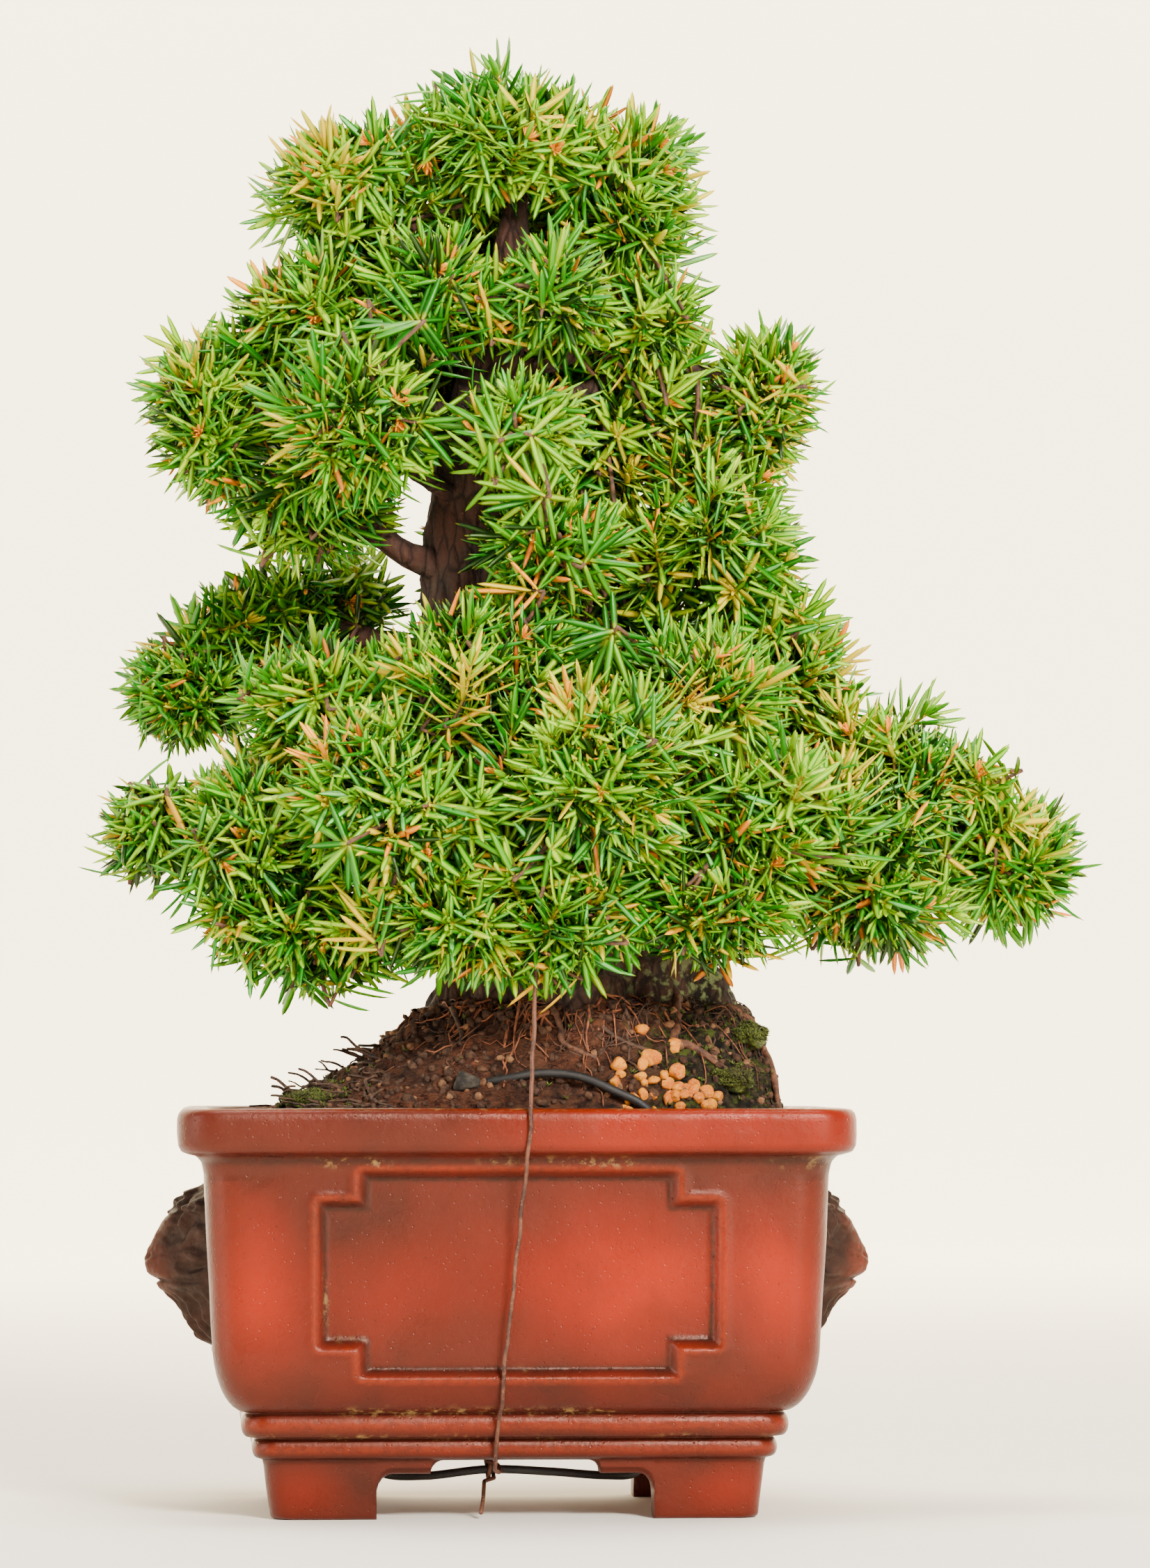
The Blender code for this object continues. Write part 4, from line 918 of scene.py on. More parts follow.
def end_wall(height):
    """How far the bottom of the end panel is from the pot's middle."""
    rise = np.maximum(0.0, (height - WALL_FOOT_HEIGHT) / (RIM_BOTTOM - 4.0 - WALL_FOOT_HEIGHT))
    return RIM_LENGTH / 2 - (WALL_FOOT_INSET + (WALL_TOP_INSET - WALL_FOOT_INSET) * rise) - PANEL_RECESS


def hump(across, height, centre_across, centre_height, half_across, half_height):
    """A pair of round swellings, one each side of the mask's middle."""
    return band(np.abs(across), centre_across, half_across) * band(height, centre_height, half_height)


def make_mask(side, word):
    """A beast's head carved in relief: mane, ears, brow, muzzle, chin and a beard drawn down to a point."""
    rows, columns = 150, 131
    height = np.linspace(MASK_BOTTOM, MASK_TOP, rows)[:, None] + np.zeros((1, columns))
    turn = np.linspace(-1, 1, columns)[None, :] + np.zeros((rows, 1))
    reach, wide, narrow = (np.interp(height, MASK_LEVELS[:, 0], MASK_LEVELS[:, k]) for k in (1, 2, 3))
    across = wide * turn
    face = np.abs(across) / np.maximum(narrow * 1.25, 0.1)
    crown = np.cos(np.clip(np.abs(turn), 0, 1) * math.pi / 2) ** 0.75
    out = reach * (0.42 * crown + 0.58 * np.exp(-(face**2) * 0.75))
    relief = sum(rise * hump(across, height, *place) for rise, *place in MASK_FEATURES)
    away = np.hypot(across, (height - 54.0) * 0.82)
    angle = np.arctan2(height - 54.0, across)
    mane = smoothstep(6.0, 8.5, away) * (0.35 + 0.65 * smoothstep(46.0, 50.0, height))
    curl = np.sin(angle * 15 + 1.6 * np.sin(away * 1.1 + angle * 4) + away * 0.5)
    relief += 0.75 * mane * curl
    beard = smoothstep(46.5, 44.5, height)
    relief += 0.6 * beard * np.sin(across * 3.1 + 1.3 * np.sin(height * 0.75))
    forehead = smoothstep(61.5, 63.0, height)
    relief += 0.4 * forehead * np.sin(height * 3.0 + np.abs(across) * 0.8)
    rim_fade = smoothstep(0.0, 0.16, 1 - np.abs(turn)) * smoothstep(MASK_BOTTOM, 36.5, height)
    rim_fade = rim_fade * smoothstep(MASK_TOP, 67.2, height)
    out = np.maximum(out + relief * rim_fade, 0.0)
    points = np.stack([end_wall(height) - 0.5 + 0.5 * rim_fade + out, across, height], -1)
    flat = points.reshape(-1, 3)
    wear = np.stack([fbm(flat, 3.2, 3, seed) for seed in (0.0, 9.0, 17.0)], -1)
    flat = flat + 0.28 * wear * rim_fade.reshape(-1, 1)
    flat[:, 0] *= side
    # Painted shade in the hollows of the relief and between the mane's curls.
    hollow_shade = np.clip(-relief * 0.9, 0, 1) + 0.4 * mane * (curl < -0.3)
    worn = smoothstep(8.5, 14.0, out + relief) * (0.85 if side > 0 else 0.45)
    faces = grid_faces(rows, columns, wrap_columns=False)
    # A plain back a little inside the wall closes the relief.
    back = flat.copy()
    back[:, 0] = side * (end_wall(flat[:, 2]) - 1.2)
    border = np.concatenate(
        [
            np.arange(columns),
            np.arange(1, rows) * columns + columns - 1,
            (rows - 1) * columns + np.arange(columns - 2, -1, -1),
            np.arange(rows - 2, 0, -1) * columns,
        ]
    )
    count = len(border)
    here = len(flat) + np.arange(count)
    after = np.roll(here, -1)
    ring = np.stack([border, np.roll(border, -1), after, here], -1)
    fan = np.stack([here, after, np.full(count, len(flat) + count)], -1)
    verts = np.vstack([flat, back[border], back.mean(axis=0, keepdims=True)])
    quads = np.vstack([faces[:, ::-1], ring])
    if side > 0:
        quads, fan = quads[:, ::-1], fan[:, ::-1]
    values = {"hollow_shade": np.clip(hollow_shade, 0, 1), "worn": worn}
    values = {key: np.concatenate([value.ravel(), np.zeros(count + 1)]) for key, value in values.items()}
    mask = build("mask_relief_" + word, verts, [quads, fan], LOOKS["mask"], True, values)
    declare(mask, "mask_clay", "lion_mask_" + word)


SIDES = ((-1, "left"), (1, "right"))
for side, word in SIDES:
    make_mask(side, word)

# --- The tree: trunk and branches ---

# Centre x and y, height, half width and half depth of the trunk.
TRUNK = np.array(
    (
        (16.5, 3, 62, 25, 22),
        (17.0, 3, 78, 32, 27),
        (16.0, 3, 90, 34, 28),
        (15.5, 3, 100, 32.5, 26.5),
        (15.5, 3, 112, 29, 24),
        (11.5, 3, 130, 23.5, 20.5),
        (6.0, 3, 150, 19, 17.5),
        (1.0, 3, 170, 16.5, 15),
        (-4.0, 2, 190, 14, 12.5),
        (-6.5, 1, 210, 11, 10),
        (-6.0, 0, 228, 8.5, 8),
        (-3.5, 0, 245, 6.5, 6.2),
        (0.0, 0, 262, 4.6, 4.4),
        (1.5, 0, 278, 2.8, 2.8),
        (2.0, 0, 288, 1.4, 1.4),
    )
)

# Each pad of foliage: name, centre, half sizes, roll to the right in degrees, its branch's points and its
# thickest radius.
PADS = (
    ("crown_top", (-1, 0, 291), (25, 22, 16), 0, ((2, 0, 284), (0, 0, 291)), 1.6),
    ("crown_left", (-35, -4, 284), (17, 17, 12.5), -8, ((0, 0, 262), (-16, -2, 271), (-34, -4, 283)), 2.6),
    ("crown_right", (27, 2, 279), (15, 18, 21), 8, ((0, 0, 260), (12, 1, 268), (26, 2, 278)), 2.6),
    ("crown_right_low", (29, -4, 253), (13, 13, 10), 0, ((-4, 0, 242), (12, -2, 246), (28, -4, 253)), 2.4),
    ("crown_front", (8, -20, 257), (13, 9.5, 12), 0, ((-3, -2, 246), (2, -10, 250), (8, -20, 256)), 2.2),
    ("crown_back", (2, 26, 274), (24, 13, 17), 0, ((-1, 2, 256), (0, 12, 263), (2, 25, 273)), 2.4),
    ("upper_left_shoulder", (-43, -4, 256), (23, 19, 13), -22,
     ((-7, 0, 226), (-22, -2, 240), (-42, -4, 255)), 3.2),
    ("upper_left_outer", (-65, -2, 233), (13, 17, 18), -10,
     ((-24, -2, 240), (-44, -3, 236), (-64, -3, 233)), 2.4),
    ("upper_left_front", (-34, -25, 229), (19, 13, 17), 0,
     ((-8, -2, 214), (-20, -12, 220), (-33, -24, 228)), 2.8),
    ("upper_left_low", (-42, -4, 213), (18, 16, 9), -6, ((-6, 0, 196), (-24, -2, 205), (-41, -4, 213)), 4.2),
    ("upper_left_inner", (-17, -19, 259), (11, 10.5, 11), 0,
     ((-5, -2, 240), (-10, -9, 248), (-16, -18, 258)), 2.0),
    ("upper_left_back", (-41, 25, 240), (22, 13, 20), 0, ((-8, 2, 218), (-22, 12, 228), (-40, 24, 240)), 2.8),
    ("right_upper", (54, 2, 235), (12, 12, 19), 12,
     ((-5, 0, 232), (20, 1, 240), (38, 1, 243), (53, 2, 240)), 2.8),
    ("right_upper_inner", (33, 16, 234), (14, 13, 12), 0, ((-6, 2, 224), (12, 10, 229), (32, 16, 234)), 2.4),
    ("centre_front", (2, -27, 228), (13, 10, 10.5), 0, ((-7, -3, 215), (-3, -14, 221), (2, -26, 228)), 2.2),
    ("centre_low", (8, -26, 203), (17, 11, 12), 0, ((-5, -4, 190), (0, -14, 196), (7, -25, 203)), 2.8),
    ("right_mid", (41, -6, 208), (18, 16, 14), 6, ((-5, 0, 200), (16, -3, 203), (40, -6, 208)), 3.0),
    ("mid_back", (10, 36, 206), (26, 15, 20), 0, ((-4, 6, 188), (2, 18, 196), (9, 34, 206)), 3.0),
    ("back_left", (-46, 34, 194), (23, 17, 11), -6, ((-4, 8, 172), (-22, 20, 184), (-45, 33, 194)), 4.0),
    ("back_left_outer", (-69, 30, 176), (14, 15, 13), -14,
     ((-24, 21, 184), (-46, 27, 181), (-68, 30, 176)), 2.4),
    ("skirt_top", (-8, -31, 180), (23, 13, 11), 0, ((-1, -8, 166), (-4, -18, 172), (-8, -30, 180)), 3.0),
    ("skirt_top_left", (-39, -20, 171), (18, 16, 12), 0,
     ((0, -2, 158), (-18, -10, 165), (-38, -20, 171)), 3.2),
    ("skirt_left", (-52, -17, 146), (18, 19, 16), 0, ((4, -2, 142), (-24, -9, 147), (-51, -17, 147)), 4.2),
    ("skirt_left_tip", (-75, -8, 143), (12.5, 13, 9), 8,
     ((-26, -9, 147), (-54, -9, 143), (-75, -8, 143)), 2.0),
    ("skirt_left_low", (-42, -26, 121), (22, 17, 9), 4,
     ((4, -8, 130), (-18, -17, 127), (-41, -26, 121)), 3.2),
    ("skirt_front_left", (-23, -46, 146), (19, 14, 18), 0,
     ((4, -8, 148), (-8, -26, 149), (-22, -45, 146)), 3.4),
    ("skirt_front", (12, -50, 151), (20, 15, 21), 0, ((6, -8, 152), (9, -28, 154), (12, -49, 151)), 3.6),
    ("skirt_front_low", (0, -43, 121), (21, 14, 10.5), 0,
     ((10, -14, 124), (5, -29, 126), (0, -43, 121)), 2.8),
    ("skirt_front_right", (46, -38, 142), (18, 16, 20), 0,
     ((12, -6, 138), (28, -22, 143), (45, -37, 142)), 3.6),
    ("skirt_mid_right", (36, -23, 174), (17, 15, 13), 0, ((4, -4, 160), (18, -13, 168), (35, -22, 174)), 3.2),
    ("skirt_top_right", (59, 4, 179), (18, 17, 14), 20, ((2, 2, 162), (28, 3, 172), (58, 4, 179)), 3.6),
    ("skirt_right", (84, -4, 156), (20, 19, 14.5), 14, ((10, 0, 142), (44, -2, 154), (83, -4, 156)), 4.6),
    ("skirt_right_tip", (109, -2, 138), (14.5, 15, 15.5), 12,
     ((60, -3, 155), (88, -3, 146), (108, -2, 139)), 2.6),
    ("skirt_right_low", (75, -16, 128), (20, 17, 10.5), 8,
     ((14, -4, 128), (44, -11, 133), (74, -16, 129)), 3.6),
    ("skirt_back_left", (-32, 38, 150), (25, 17, 17), 0, ((6, 8, 140), (-12, 24, 147), (-31, 37, 150)), 3.6),
    ("skirt_back", (28, 50, 150), (28, 17, 19), 0, ((10, 10, 138), (18, 28, 146), (28, 48, 150)), 3.8),
)


def trunk_surface(rows, columns):
    """The trunk's bark as a grid of points, flared and fluted at the foot."""
    height = np.linspace(TRUNK[0, 2], TRUNK[-1, 2], rows)
    smooth = catmull(TRUNK, 8)
    x, y, half_x, half_y = (np.interp(height, smooth[:, 2], smooth[:, k])[:, None] for k in (0, 1, 3, 4))
    height = height[:, None] + np.zeros((1, columns))
    turn = np.linspace(0, 2 * math.pi, columns, endpoint=False)[None, :] + 0.0012 * (height - 62)
    fade = np.maximum(0.0, 1 - (height - 62) / 130)
    swell = 1 + 0.10 * fade * np.cos(4 * turn + 0.8) + 0.035 * fade * np.cos(9 * turn + 0.02 * height)
    # A deep fold on the front parts the two main roots.
    fold = band(turn, math.radians(292), 0.16)
    swell -= 0.20 * fold * smoothstep(150.0, 105.0, height)
    points = [x + half_x * swell * np.cos(turn), y + half_y * swell * np.sin(turn), height]
    points = np.stack(points, -1).reshape(-1, 3)
    outwards = unit(np.stack([np.cos(turn), np.sin(turn), 0 * turn], -1)).reshape(-1, 3)
    stretched = points * (1.0, 1.0, 0.35)
    size = np.clip((half_x + np.zeros_like(height)).reshape(-1) / 20, 0.15, 1.0)
    ridges = 1 - 2 * np.abs(fbm(stretched, 8.0, 3))
    rough = 1.1 * ridges + 1.4 * fbm(points * (1, 1, 0.6), 15.0, 2, 4.0) + 0.55 * fbm(points, 2.6, 3, 8.0)
    return points + outwards * (rough * size)[:, None]


def make_tree():
    """The trunk with its branches; returns each branch's route, by its pad's name."""
    rows, columns = 230, 170
    points = trunk_surface(rows, columns)
    wood = Batch()
    lichen = smoothstep(14.0, 40.0, points[:, 0]) * smoothstep(124.0, 108.0, points[:, 2])
    wood.add(points, grid_faces(rows, columns), value=lichen * (points[:, 1] < 18))
    closed_top = [(k, (k + 1) % columns, columns) for k in range(columns)]
    wood.add(np.vstack([points[-columns:], [[2.0, 0.0, 288.3]]]), tris=closed_top)
    routes = {}
    for name, _, _, _, branch, thick in PADS:
        route = catmull(branch, 7)
        if name != "crown_top":
            wander = np.stack([fbm(route + 50 * k, 9.0, 2) for k in (1, 2, 3)], -1)
            wander[0] = 0
            route = route + 1.1 * wander
        taper = thick * (1 - 0.68 * np.linspace(0, 1, len(route)))
        knots = 1 + 0.16 * fbm(route, 2.5, 2, 3.0)
        wood.tube(route, taper * knots, 14, 0.0, 0.16)
        routes[name] = route
    declare(wood.make("tree_trunk_and_branches", LOOKS["bark"], key="lichen"), "bark", "tree_wood")
    return routes


branch_routes = make_tree()

# --- The mound of roots ---

# Height, how far the mound reaches to the left, the right, the front and the back, and how square it is.
MOUND_LEVELS = np.array(
    (
        (78.5, 53, 57.5, 44.0, 44.0, 0.35),
        (81.0, 52.5, 57.2, 43.6, 43.5, 0.35),
        (84.5, 50.0, 57, 42.8, 42.5, 0.35),
        (88.0, 42, 56.5, 39.5, 40, 0.3),
        (92.5, 34, 55.5, 36, 37, 0.2),
        (97.0, 28, 54.5, 32.5, 35, 0.1),
        (101.5, 23, 53, 29, 33, 0.0),
        (105.0, 19.5, 51, 26, 31, 0.0),
        (107.0, 12, 42, 18, 24, 0.0),
        (108.0, -8, 22, 2, 8, 0.0),
    )
)


def make_mound():
    """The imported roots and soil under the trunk; returns the surface, to set other things down on."""
    columns, rows = 260, 110
    level = np.linspace(0, len(MOUND_LEVELS) - 1, rows)
    height, left, right, front, back, square = (
        np.interp(level, np.arange(len(MOUND_LEVELS)), MOUND_LEVELS[:, k])[:, None] for k in range(6)
    )
    turn = np.linspace(0, 2 * math.pi, columns, endpoint=False)[None, :]
    cosine, sine = np.cos(turn), np.sin(turn)
    x = (right - left) / 2 + (right + left) / 2 * np.sign(cosine) * np.abs(cosine) ** (1 - square)
    y = (back - front) / 2 + (back + front) / 2 * np.sign(sine) * np.abs(sine) ** (1 - square)
    points = np.stack([x, y, height + 0 * x], -1).reshape(-1, 3)
    lumps = 1.8 * fbm(points, 9.0, 3) + 1.25 * fbm(points, 3.0, 3, 5.0) + 0.5 * fbm(points, 1.1, 2, 9.0)
    middle = np.array([16.0, 0.0, 84.0])
    outwards = unit((points - middle) * (1, 1, 1.6))
    inside = smoothstep(78.5, 83.0, points[:, 2])
    points = points + outwards * (lumps * inside)[:, None]
    # Painted shade: the right side and the left end take darker soil, with patches of moss.
    side = smoothstep(20.0, 36.0, points[:, 0] + 5.0 * fbm(points, 7.0, 2, 21.0))
    side = np.maximum(side, 0.7 * smoothstep(-34.0, -44.0, points[:, 0]))
    faces = grid_faces(rows, columns)
    mound = build("root_mound", points, faces, LOOKS["mound"], True, {"value": side})
    declare(mound, "root_fibre", "root_mat")
    return BVHTree.FromPolygons(points.tolist(), faces.tolist())


mound_tree = make_mound()
RIM_INSIDE_X, RIM_INSIDE_Y = 62.0, 46.0
SOIL_TOP = 80.2
TRUNK_X, TRUNK_Y = 16, 2
FIBRE_COUNT, FRONT_FIBRES, FIBRE_STEP = 820, 520, 2.0
CRUMB_COUNT, TUFTS_PER_CUSHION, STRAY_TUFTS, GRAIN_BITS = 2700, 620, 420, 48
# Heavier roots run from the trunk's foot towards the rim: heading in degrees, reach and thickest radius.
SURFACE_ROOTS = (
    (186, 46, 1.3), (203, 40, 1.1), (224, 38, 1.2), (246, 34, 0.9), (262, 36, 1.2), (281, 36, 1.0),
    (312, 42, 1.6), (334, 44, 1.5), (20, 40, 1.7), (60, 38, 1.5), (95, 40, 1.3), (130, 42, 1.6),
    (160, 44, 1.3),
)  # fmt: skip


def ground(x, y):
    """The height of the mound's surface, or of the soil beside it."""
    hit, *_ = mound_tree.ray_cast(Vector((x, y, 150.0)), Vector((0, 0, -1)))
    return max(hit.z, SOIL_TOP) if hit else SOIL_TOP


def make_root_fibres():
    """Fine roots that wander over the mound, most of them on its front."""
    fibres = Batch()
    for number in range(FIBRE_COUNT):
        turn = RNG.uniform(0, 2 * math.pi)
        if number < FRONT_FIBRES:
            turn = RNG.uniform(math.radians(175), math.radians(365))
        start = RNG.uniform(0.25, 1.05)
        x = TRUNK_X + 31 * start * math.cos(turn)
        y = TRUNK_Y + 28 * start * math.sin(turn)
        heading = turn + RNG.normal(0, 1.1)
        radius = float(np.clip(RNG.lognormal(-1.5, 0.45), 0.11, 0.8))
        lift = RNG.uniform(0.2, 1.8) * (RNG.random() < 0.45)
        length = int(RNG.integers(5, 13))
        bend = RNG.normal(0, 0.25)
        route = []
        for k in range(length):
            if abs(x) > RIM_INSIDE_X - 2 or abs(y) > RIM_INSIDE_Y - 2:
                break
            arch = math.sin(math.pi * k / (length - 1))
            route.append((x, y, ground(x, y) + radius * 0.35 + lift * arch))
            heading += bend + RNG.normal(0, 0.45)
            x += FIBRE_STEP * math.cos(heading)
            y += FIBRE_STEP * math.sin(heading)
        if len(route) < 4:
            continue
        route = catmull(np.array(route) + RNG.normal(0, 0.2, (len(route), 3)), 2)
        # Fibres that start towards the right are darker: painted shade, as on the mound's right side; the
        # rest of the tone is random.
        reddish = float(np.clip(RNG.normal(0.62, 0.28) - 0.55 * smoothstep(16.0, 36.0, route[0, 0]), 0, 1))
        fibres.tube(route, np.linspace(radius, radius * 0.45, len(route)), 5, reddish, 0.14)
    declare(fibres.make("root_fibres", LOOKS["root"]), "root_fibre")


def make_surface_roots():
    roots = Batch()
    for turn, reach, radius in SURFACE_ROOTS:
        route = []
        heading = math.radians(turn)
        for t in np.linspace(0.45, 1.0, 9):
            wander = heading + 0.2 * math.sin(9 * t + turn) + RNG.normal(0, 0.05)
            x, y = TRUNK_X + reach * 1.05 * t * math.cos(wander), TRUNK_Y + reach * t * math.sin(wander)
            route.append((x, y, ground(x, y) + radius * 0.2))
        route = catmull(route, 4)
        thick = np.linspace(radius, radius * 0.4, len(route)) * (1 + 0.3 * fbm(route, 3.0, 2, turn))
        roots.tube(route, thick, 10, 0.25 + 0.3 * RNG.random(), 0.3)
    # Wiry dark roots stand out at the left end, over the rim's edge.
    for _ in range(70):
        x, y = RNG.uniform(-49, -24), RNG.uniform(-40, 20)
        z = ground(x, y)
        heading = RNG.normal(math.pi, 0.9)
        rise = RNG.uniform(0.2, 1.0)
        route = [(x, y, z)]
        for k in range(6):
            x += 1.3 * math.cos(heading)
            y += 1.3 * math.sin(heading)
            z += rise * RNG.uniform(0.2, 1.2) * (1 - k / 7)
            heading += RNG.normal(0, 0.6)
            rise += RNG.normal(0, 0.35)
            route.append((x, y, max(z, ground(x, y) + 0.1)))
        radius = RNG.uniform(0.24, 0.5)
        route = catmull(route, 2)
        roots.tube(route, np.linspace(radius, radius * 0.6, len(route)), 6, RNG.uniform(0.0, 0.4), 0.2)
    declare(roots.make("surface_roots", LOOKS["root"]), "root_fibre")


make_root_fibres()
make_surface_roots()


def make_crumbs():
    """Loose soil: dark crumbs on the mound, and a granular bed between it and the pot's walls."""
    crumbs = Batch()
    for number in range(CRUMB_COUNT):
        x, y = RNG.uniform(-RIM_INSIDE_X, RIM_INSIDE_X), RNG.uniform(-RIM_INSIDE_Y, RIM_INSIDE_Y)
        z = ground(x, y)
        on_mound = z > SOIL_TOP + 0.4
        if on_mound and RNG.random() < 0.15:
            continue
        size = RNG.uniform(0.4, 1.3) if on_mound else RNG.uniform(0.6, 1.7)
        sizes = size * RNG.uniform(0.7, 1.15, 3)
        crumbs.lump((x, y, z + 0.2 * size), sizes, 0.37 * number, 0.5, RNG.random())
    declare(crumbs.make("soil_crumbs", LOOKS["soil"]), "soil")
    columns, rows = 150, 120
    x, y = np.meshgrid(np.linspace(-62.6, 62.6, columns), np.linspace(-46.6, 46.6, rows))
    flat = np.stack([x, y, 80.0 + 0 * x], -1).reshape(-1, 3)
    flat[:, 2] += 0.6 * fbm(flat, 3.0, 3) + 0.3 * fbm(flat, 1.0, 2, 4.0) - 0.4
    tone = {"value": np.full(len(flat), 0.3)}
    bed = build("soil_bed", flat, grid_faces(rows, columns, wrap_columns=False), LOOKS["soil"], True, tone)
    declare(bed, "soil", "potting_soil")


make_crumbs()


BLADE_FACES = ((0, 1, 3), (0, 3, 2), (1, 4, 3), (2, 3, 5), (3, 4, 5), (0, 2, 1), (1, 2, 4), (2, 5, 4))


def blade(batch, base, direction, length, width, value):
    """A small pointed leaf, folded along its middle."""
    direction = unit(direction)
    side = unit(np.cross(direction, [0.2, 0.3, 0.93])) * width / 2
    up = np.cross(side, direction)
    up = unit(up) * width * 0.3
    middle = base + direction * length * 0.5
    tip = base + direction * length
    verts = [base - side * 0.6, base + side * 0.6, middle - side, middle + up, middle + side, tip]
    batch.add(verts, tris=BLADE_FACES, value=value)


def moss_tuft(batch, point, outwards, size):
    """Six leaves that lean out all round."""
    for k in range(6):
        turn = k * math.pi / 3 + RNG.uniform(-0.4, 0.4)
        across = unit(np.cross(outwards, [0.3, 0.8, 0.2]))
        other = np.cross(outwards, across)
        lean = RNG.uniform(0.4, 1.2)
        direction = outwards + lean * (math.cos(turn) * across + math.sin(turn) * other)
        blade(batch, point, direction, size * RNG.uniform(0.7, 1.2), size * 0.34, float(RNG.random()))


def make_moss():
    for node in ("moss_left", "moss_right", "moss_front_right"):
        centre, sizes = node_box(node)
        inwards = unit((16.0 - centre[0], -centre[1], 0.0))
        centre, sizes = centre + inwards * 0.35 * sizes[0], sizes * 0.82
        cushion = Batch()
        verts, tris = ICOSPHERES[4]
        swell = 1 + 0.34 * fbm(verts * 1.9, 1.0, 4, sizes[0])
        body = verts * (sizes * (0.94, 0.94, 0.78)) * swell[:, None] + centre - (0, 0, 0.6)
        cushion.add(body, tris=tris, value=0.15)
        for k in RNG.choice(len(verts), TUFTS_PER_CUSHION, replace=False):
            if verts[k, 2] > -0.25:
                moss_tuft(cushion, body[k], unit(verts[k] / sizes + (0, 0, 0.12)), RNG.uniform(0.7, 1.25))
        declare(cushion.make(node + "_tufts", LOOKS["moss"], False), "moss", node)
    stray = Batch()
    for _ in range(STRAY_TUFTS):
        zone = RNG.random()
        if zone < 0.62:
            x, y = RNG.uniform(30, 56), RNG.uniform(-40, 30)
        elif zone < 0.85:
            x, y = RNG.uniform(-50, -34), RNG.uniform(-38, 30)
        else:
            x, y = RNG.uniform(-34, 30), RNG.uniform(-42, 42)
        point = np.array([x, y, ground(x, y) - 0.1])
        if point[2] > SOIL_TOP + 0.3:
            moss_tuft(stray, point, unit(RNG.normal(0, 0.3, 3) + (0.15, -0.1, 1)), RNG.uniform(0.9, 1.9))
    declare(stray.make("stray_moss", LOOKS["moss"], False), "moss")


make_moss()


def rock(name, node, material, slot, seed, swell):
    centre, sizes = node_box(node)
    chip = Batch()
    chip.add(*chipped(centre, sizes * swell, seed))
    declare(chip.make(name, material), slot, node)


def chipped(centre, sizes, seed):
    """A broken grain: a ball cut by several planes, its edges worn."""
    verts, tris = ICOSPHERES[3]
    rng = np.random.default_rng(int(seed * 100) + 3)
    shape = verts.copy()
    for _ in range(9):
        face = unit(rng.normal(0, 1, 3))
        height = rng.uniform(0.62, 0.9)
        over = shape @ face - height
        shape = shape - np.maximum(over, 0)[:, None] * face * 0.92
    shape *= (1 + 0.10 * fbm(verts * 2.0, 1.0, 3, seed))[:, None]
    return shape * np.asarray(sizes) + np.asarray(centre), (), tris


def make_grains():
    for k in range(1, 7):
        rock(f"clay_grain_{k}", f"akadama_grain_{k}", LOOKS["grain"], "akadama", 1.7 * k, 1.06)
    rock("gravel_stone", "dark_stone", LOOKS["stone"], "dark_stone", 12.1, 1.15)
    small = Batch()
    for number in range(GRAIN_BITS):
        x, y = RNG.normal(31, 7.5), RNG.normal(-38.5, 2.6)
        if not (14 < x < 46 and -43 < y < -34):
            continue
        size = RNG.uniform(0.5, 1.5)
        centre = (x, y, ground(x, y) + 0.45 * size)
        small.add(*chipped(centre, size * RNG.uniform(0.8, 1.2, 3), 20 + number))
    declare(small.make("clay_grain_bits", LOOKS["grain"]), "akadama")


make_grains()

# --- Wires, clips and screens ---

ANCHOR_RADIUS, GUY_RADIUS, CLIP_RADIUS, GAP = 0.9, 0.45, 0.5, 0.3
ANCHOR_ROUTE = (
    (-9, -35, 88.5), (-16, -37, 84), (-24, -34, 72), (-33, -20, 48), (-30, 0, 30), (-30, 0, 20),
    (-30, -1, 12.5), (-27, -7, 7.8), (-18, -14, 7.6), (-5, -18, 9.2), (8, -17, 8.6), (20, -12, 7.4),
    (27, -6, 7.6), (30, -1, 12.5), (30, 0, 20), (30, 0, 30), (36, -24, 50), (33, -38, 72),
    (27.5, -42.2, 84), (19.5, -41.4, 88.8), (12.5, -39.6, 91.6), (5, -38.4, 92.2), (-1.5, -37.4, 91.2),
    (-6, -36, 90.4),
)  # fmt: skip
# The guy wire goes from a loop round a low branch, down over the rim, to a twist round the anchor wire.
KNOT_PLACE, KNOT_AXIS, KNOT_RADIUS = (5, -29, 126), (-5, -15, -2), 2.9
TWIST_PLACE, TWIST_AXIS, TWIST_RADIUS, TWIST_START = (-4.6, -17.9, 9.15), (13, -1, -0.2), 1.75, 100
GUY_DOWN = (
    (4.2, -38, 122), (3.4, -47, 113), (2.4, -53.6, 93), (1.9, -55.1, 85.2), (1.7, -55.0, 79),
    (0.6, -52.4, 68), (-1.0, -49.4, 51), (-2.4, -48.1, 38), (-3.2, -46.7, 28.5), (-3.8, -42.0, 20),
    (-4.2, -39.6, 14.6), (-4.3, -37.6, 10.8), (-3.4, -30, 9.4), (-3.4, -23.4, 10.6),
)  # fmt: skip
GUY_TAIL = ((-5.9, -21.5, 7.0), (-6.2, -26, 6.8), (-6.6, -30.5, 4.0), (-7.2, -33.5, 1.2))


def coil(centre, axis, radius, start, turns=1.5, steps=16):
    """A short helix, one wire's width and a gap to a turn; start is in degrees."""
    axis = unit(axis)
    across = unit(np.cross(axis, [0, 0, 1]))
    up = np.cross(across, axis)
    points = []
    for k in range(round(turns * steps) + 1):
        angle = math.radians(start) + 2 * math.pi * k / steps
        along = (2 * GUY_RADIUS + GAP) * (k / steps - turns / 2)
        points.append(centre + axis * along + radius * (across * math.cos(angle) + up * math.sin(angle)))
    return points


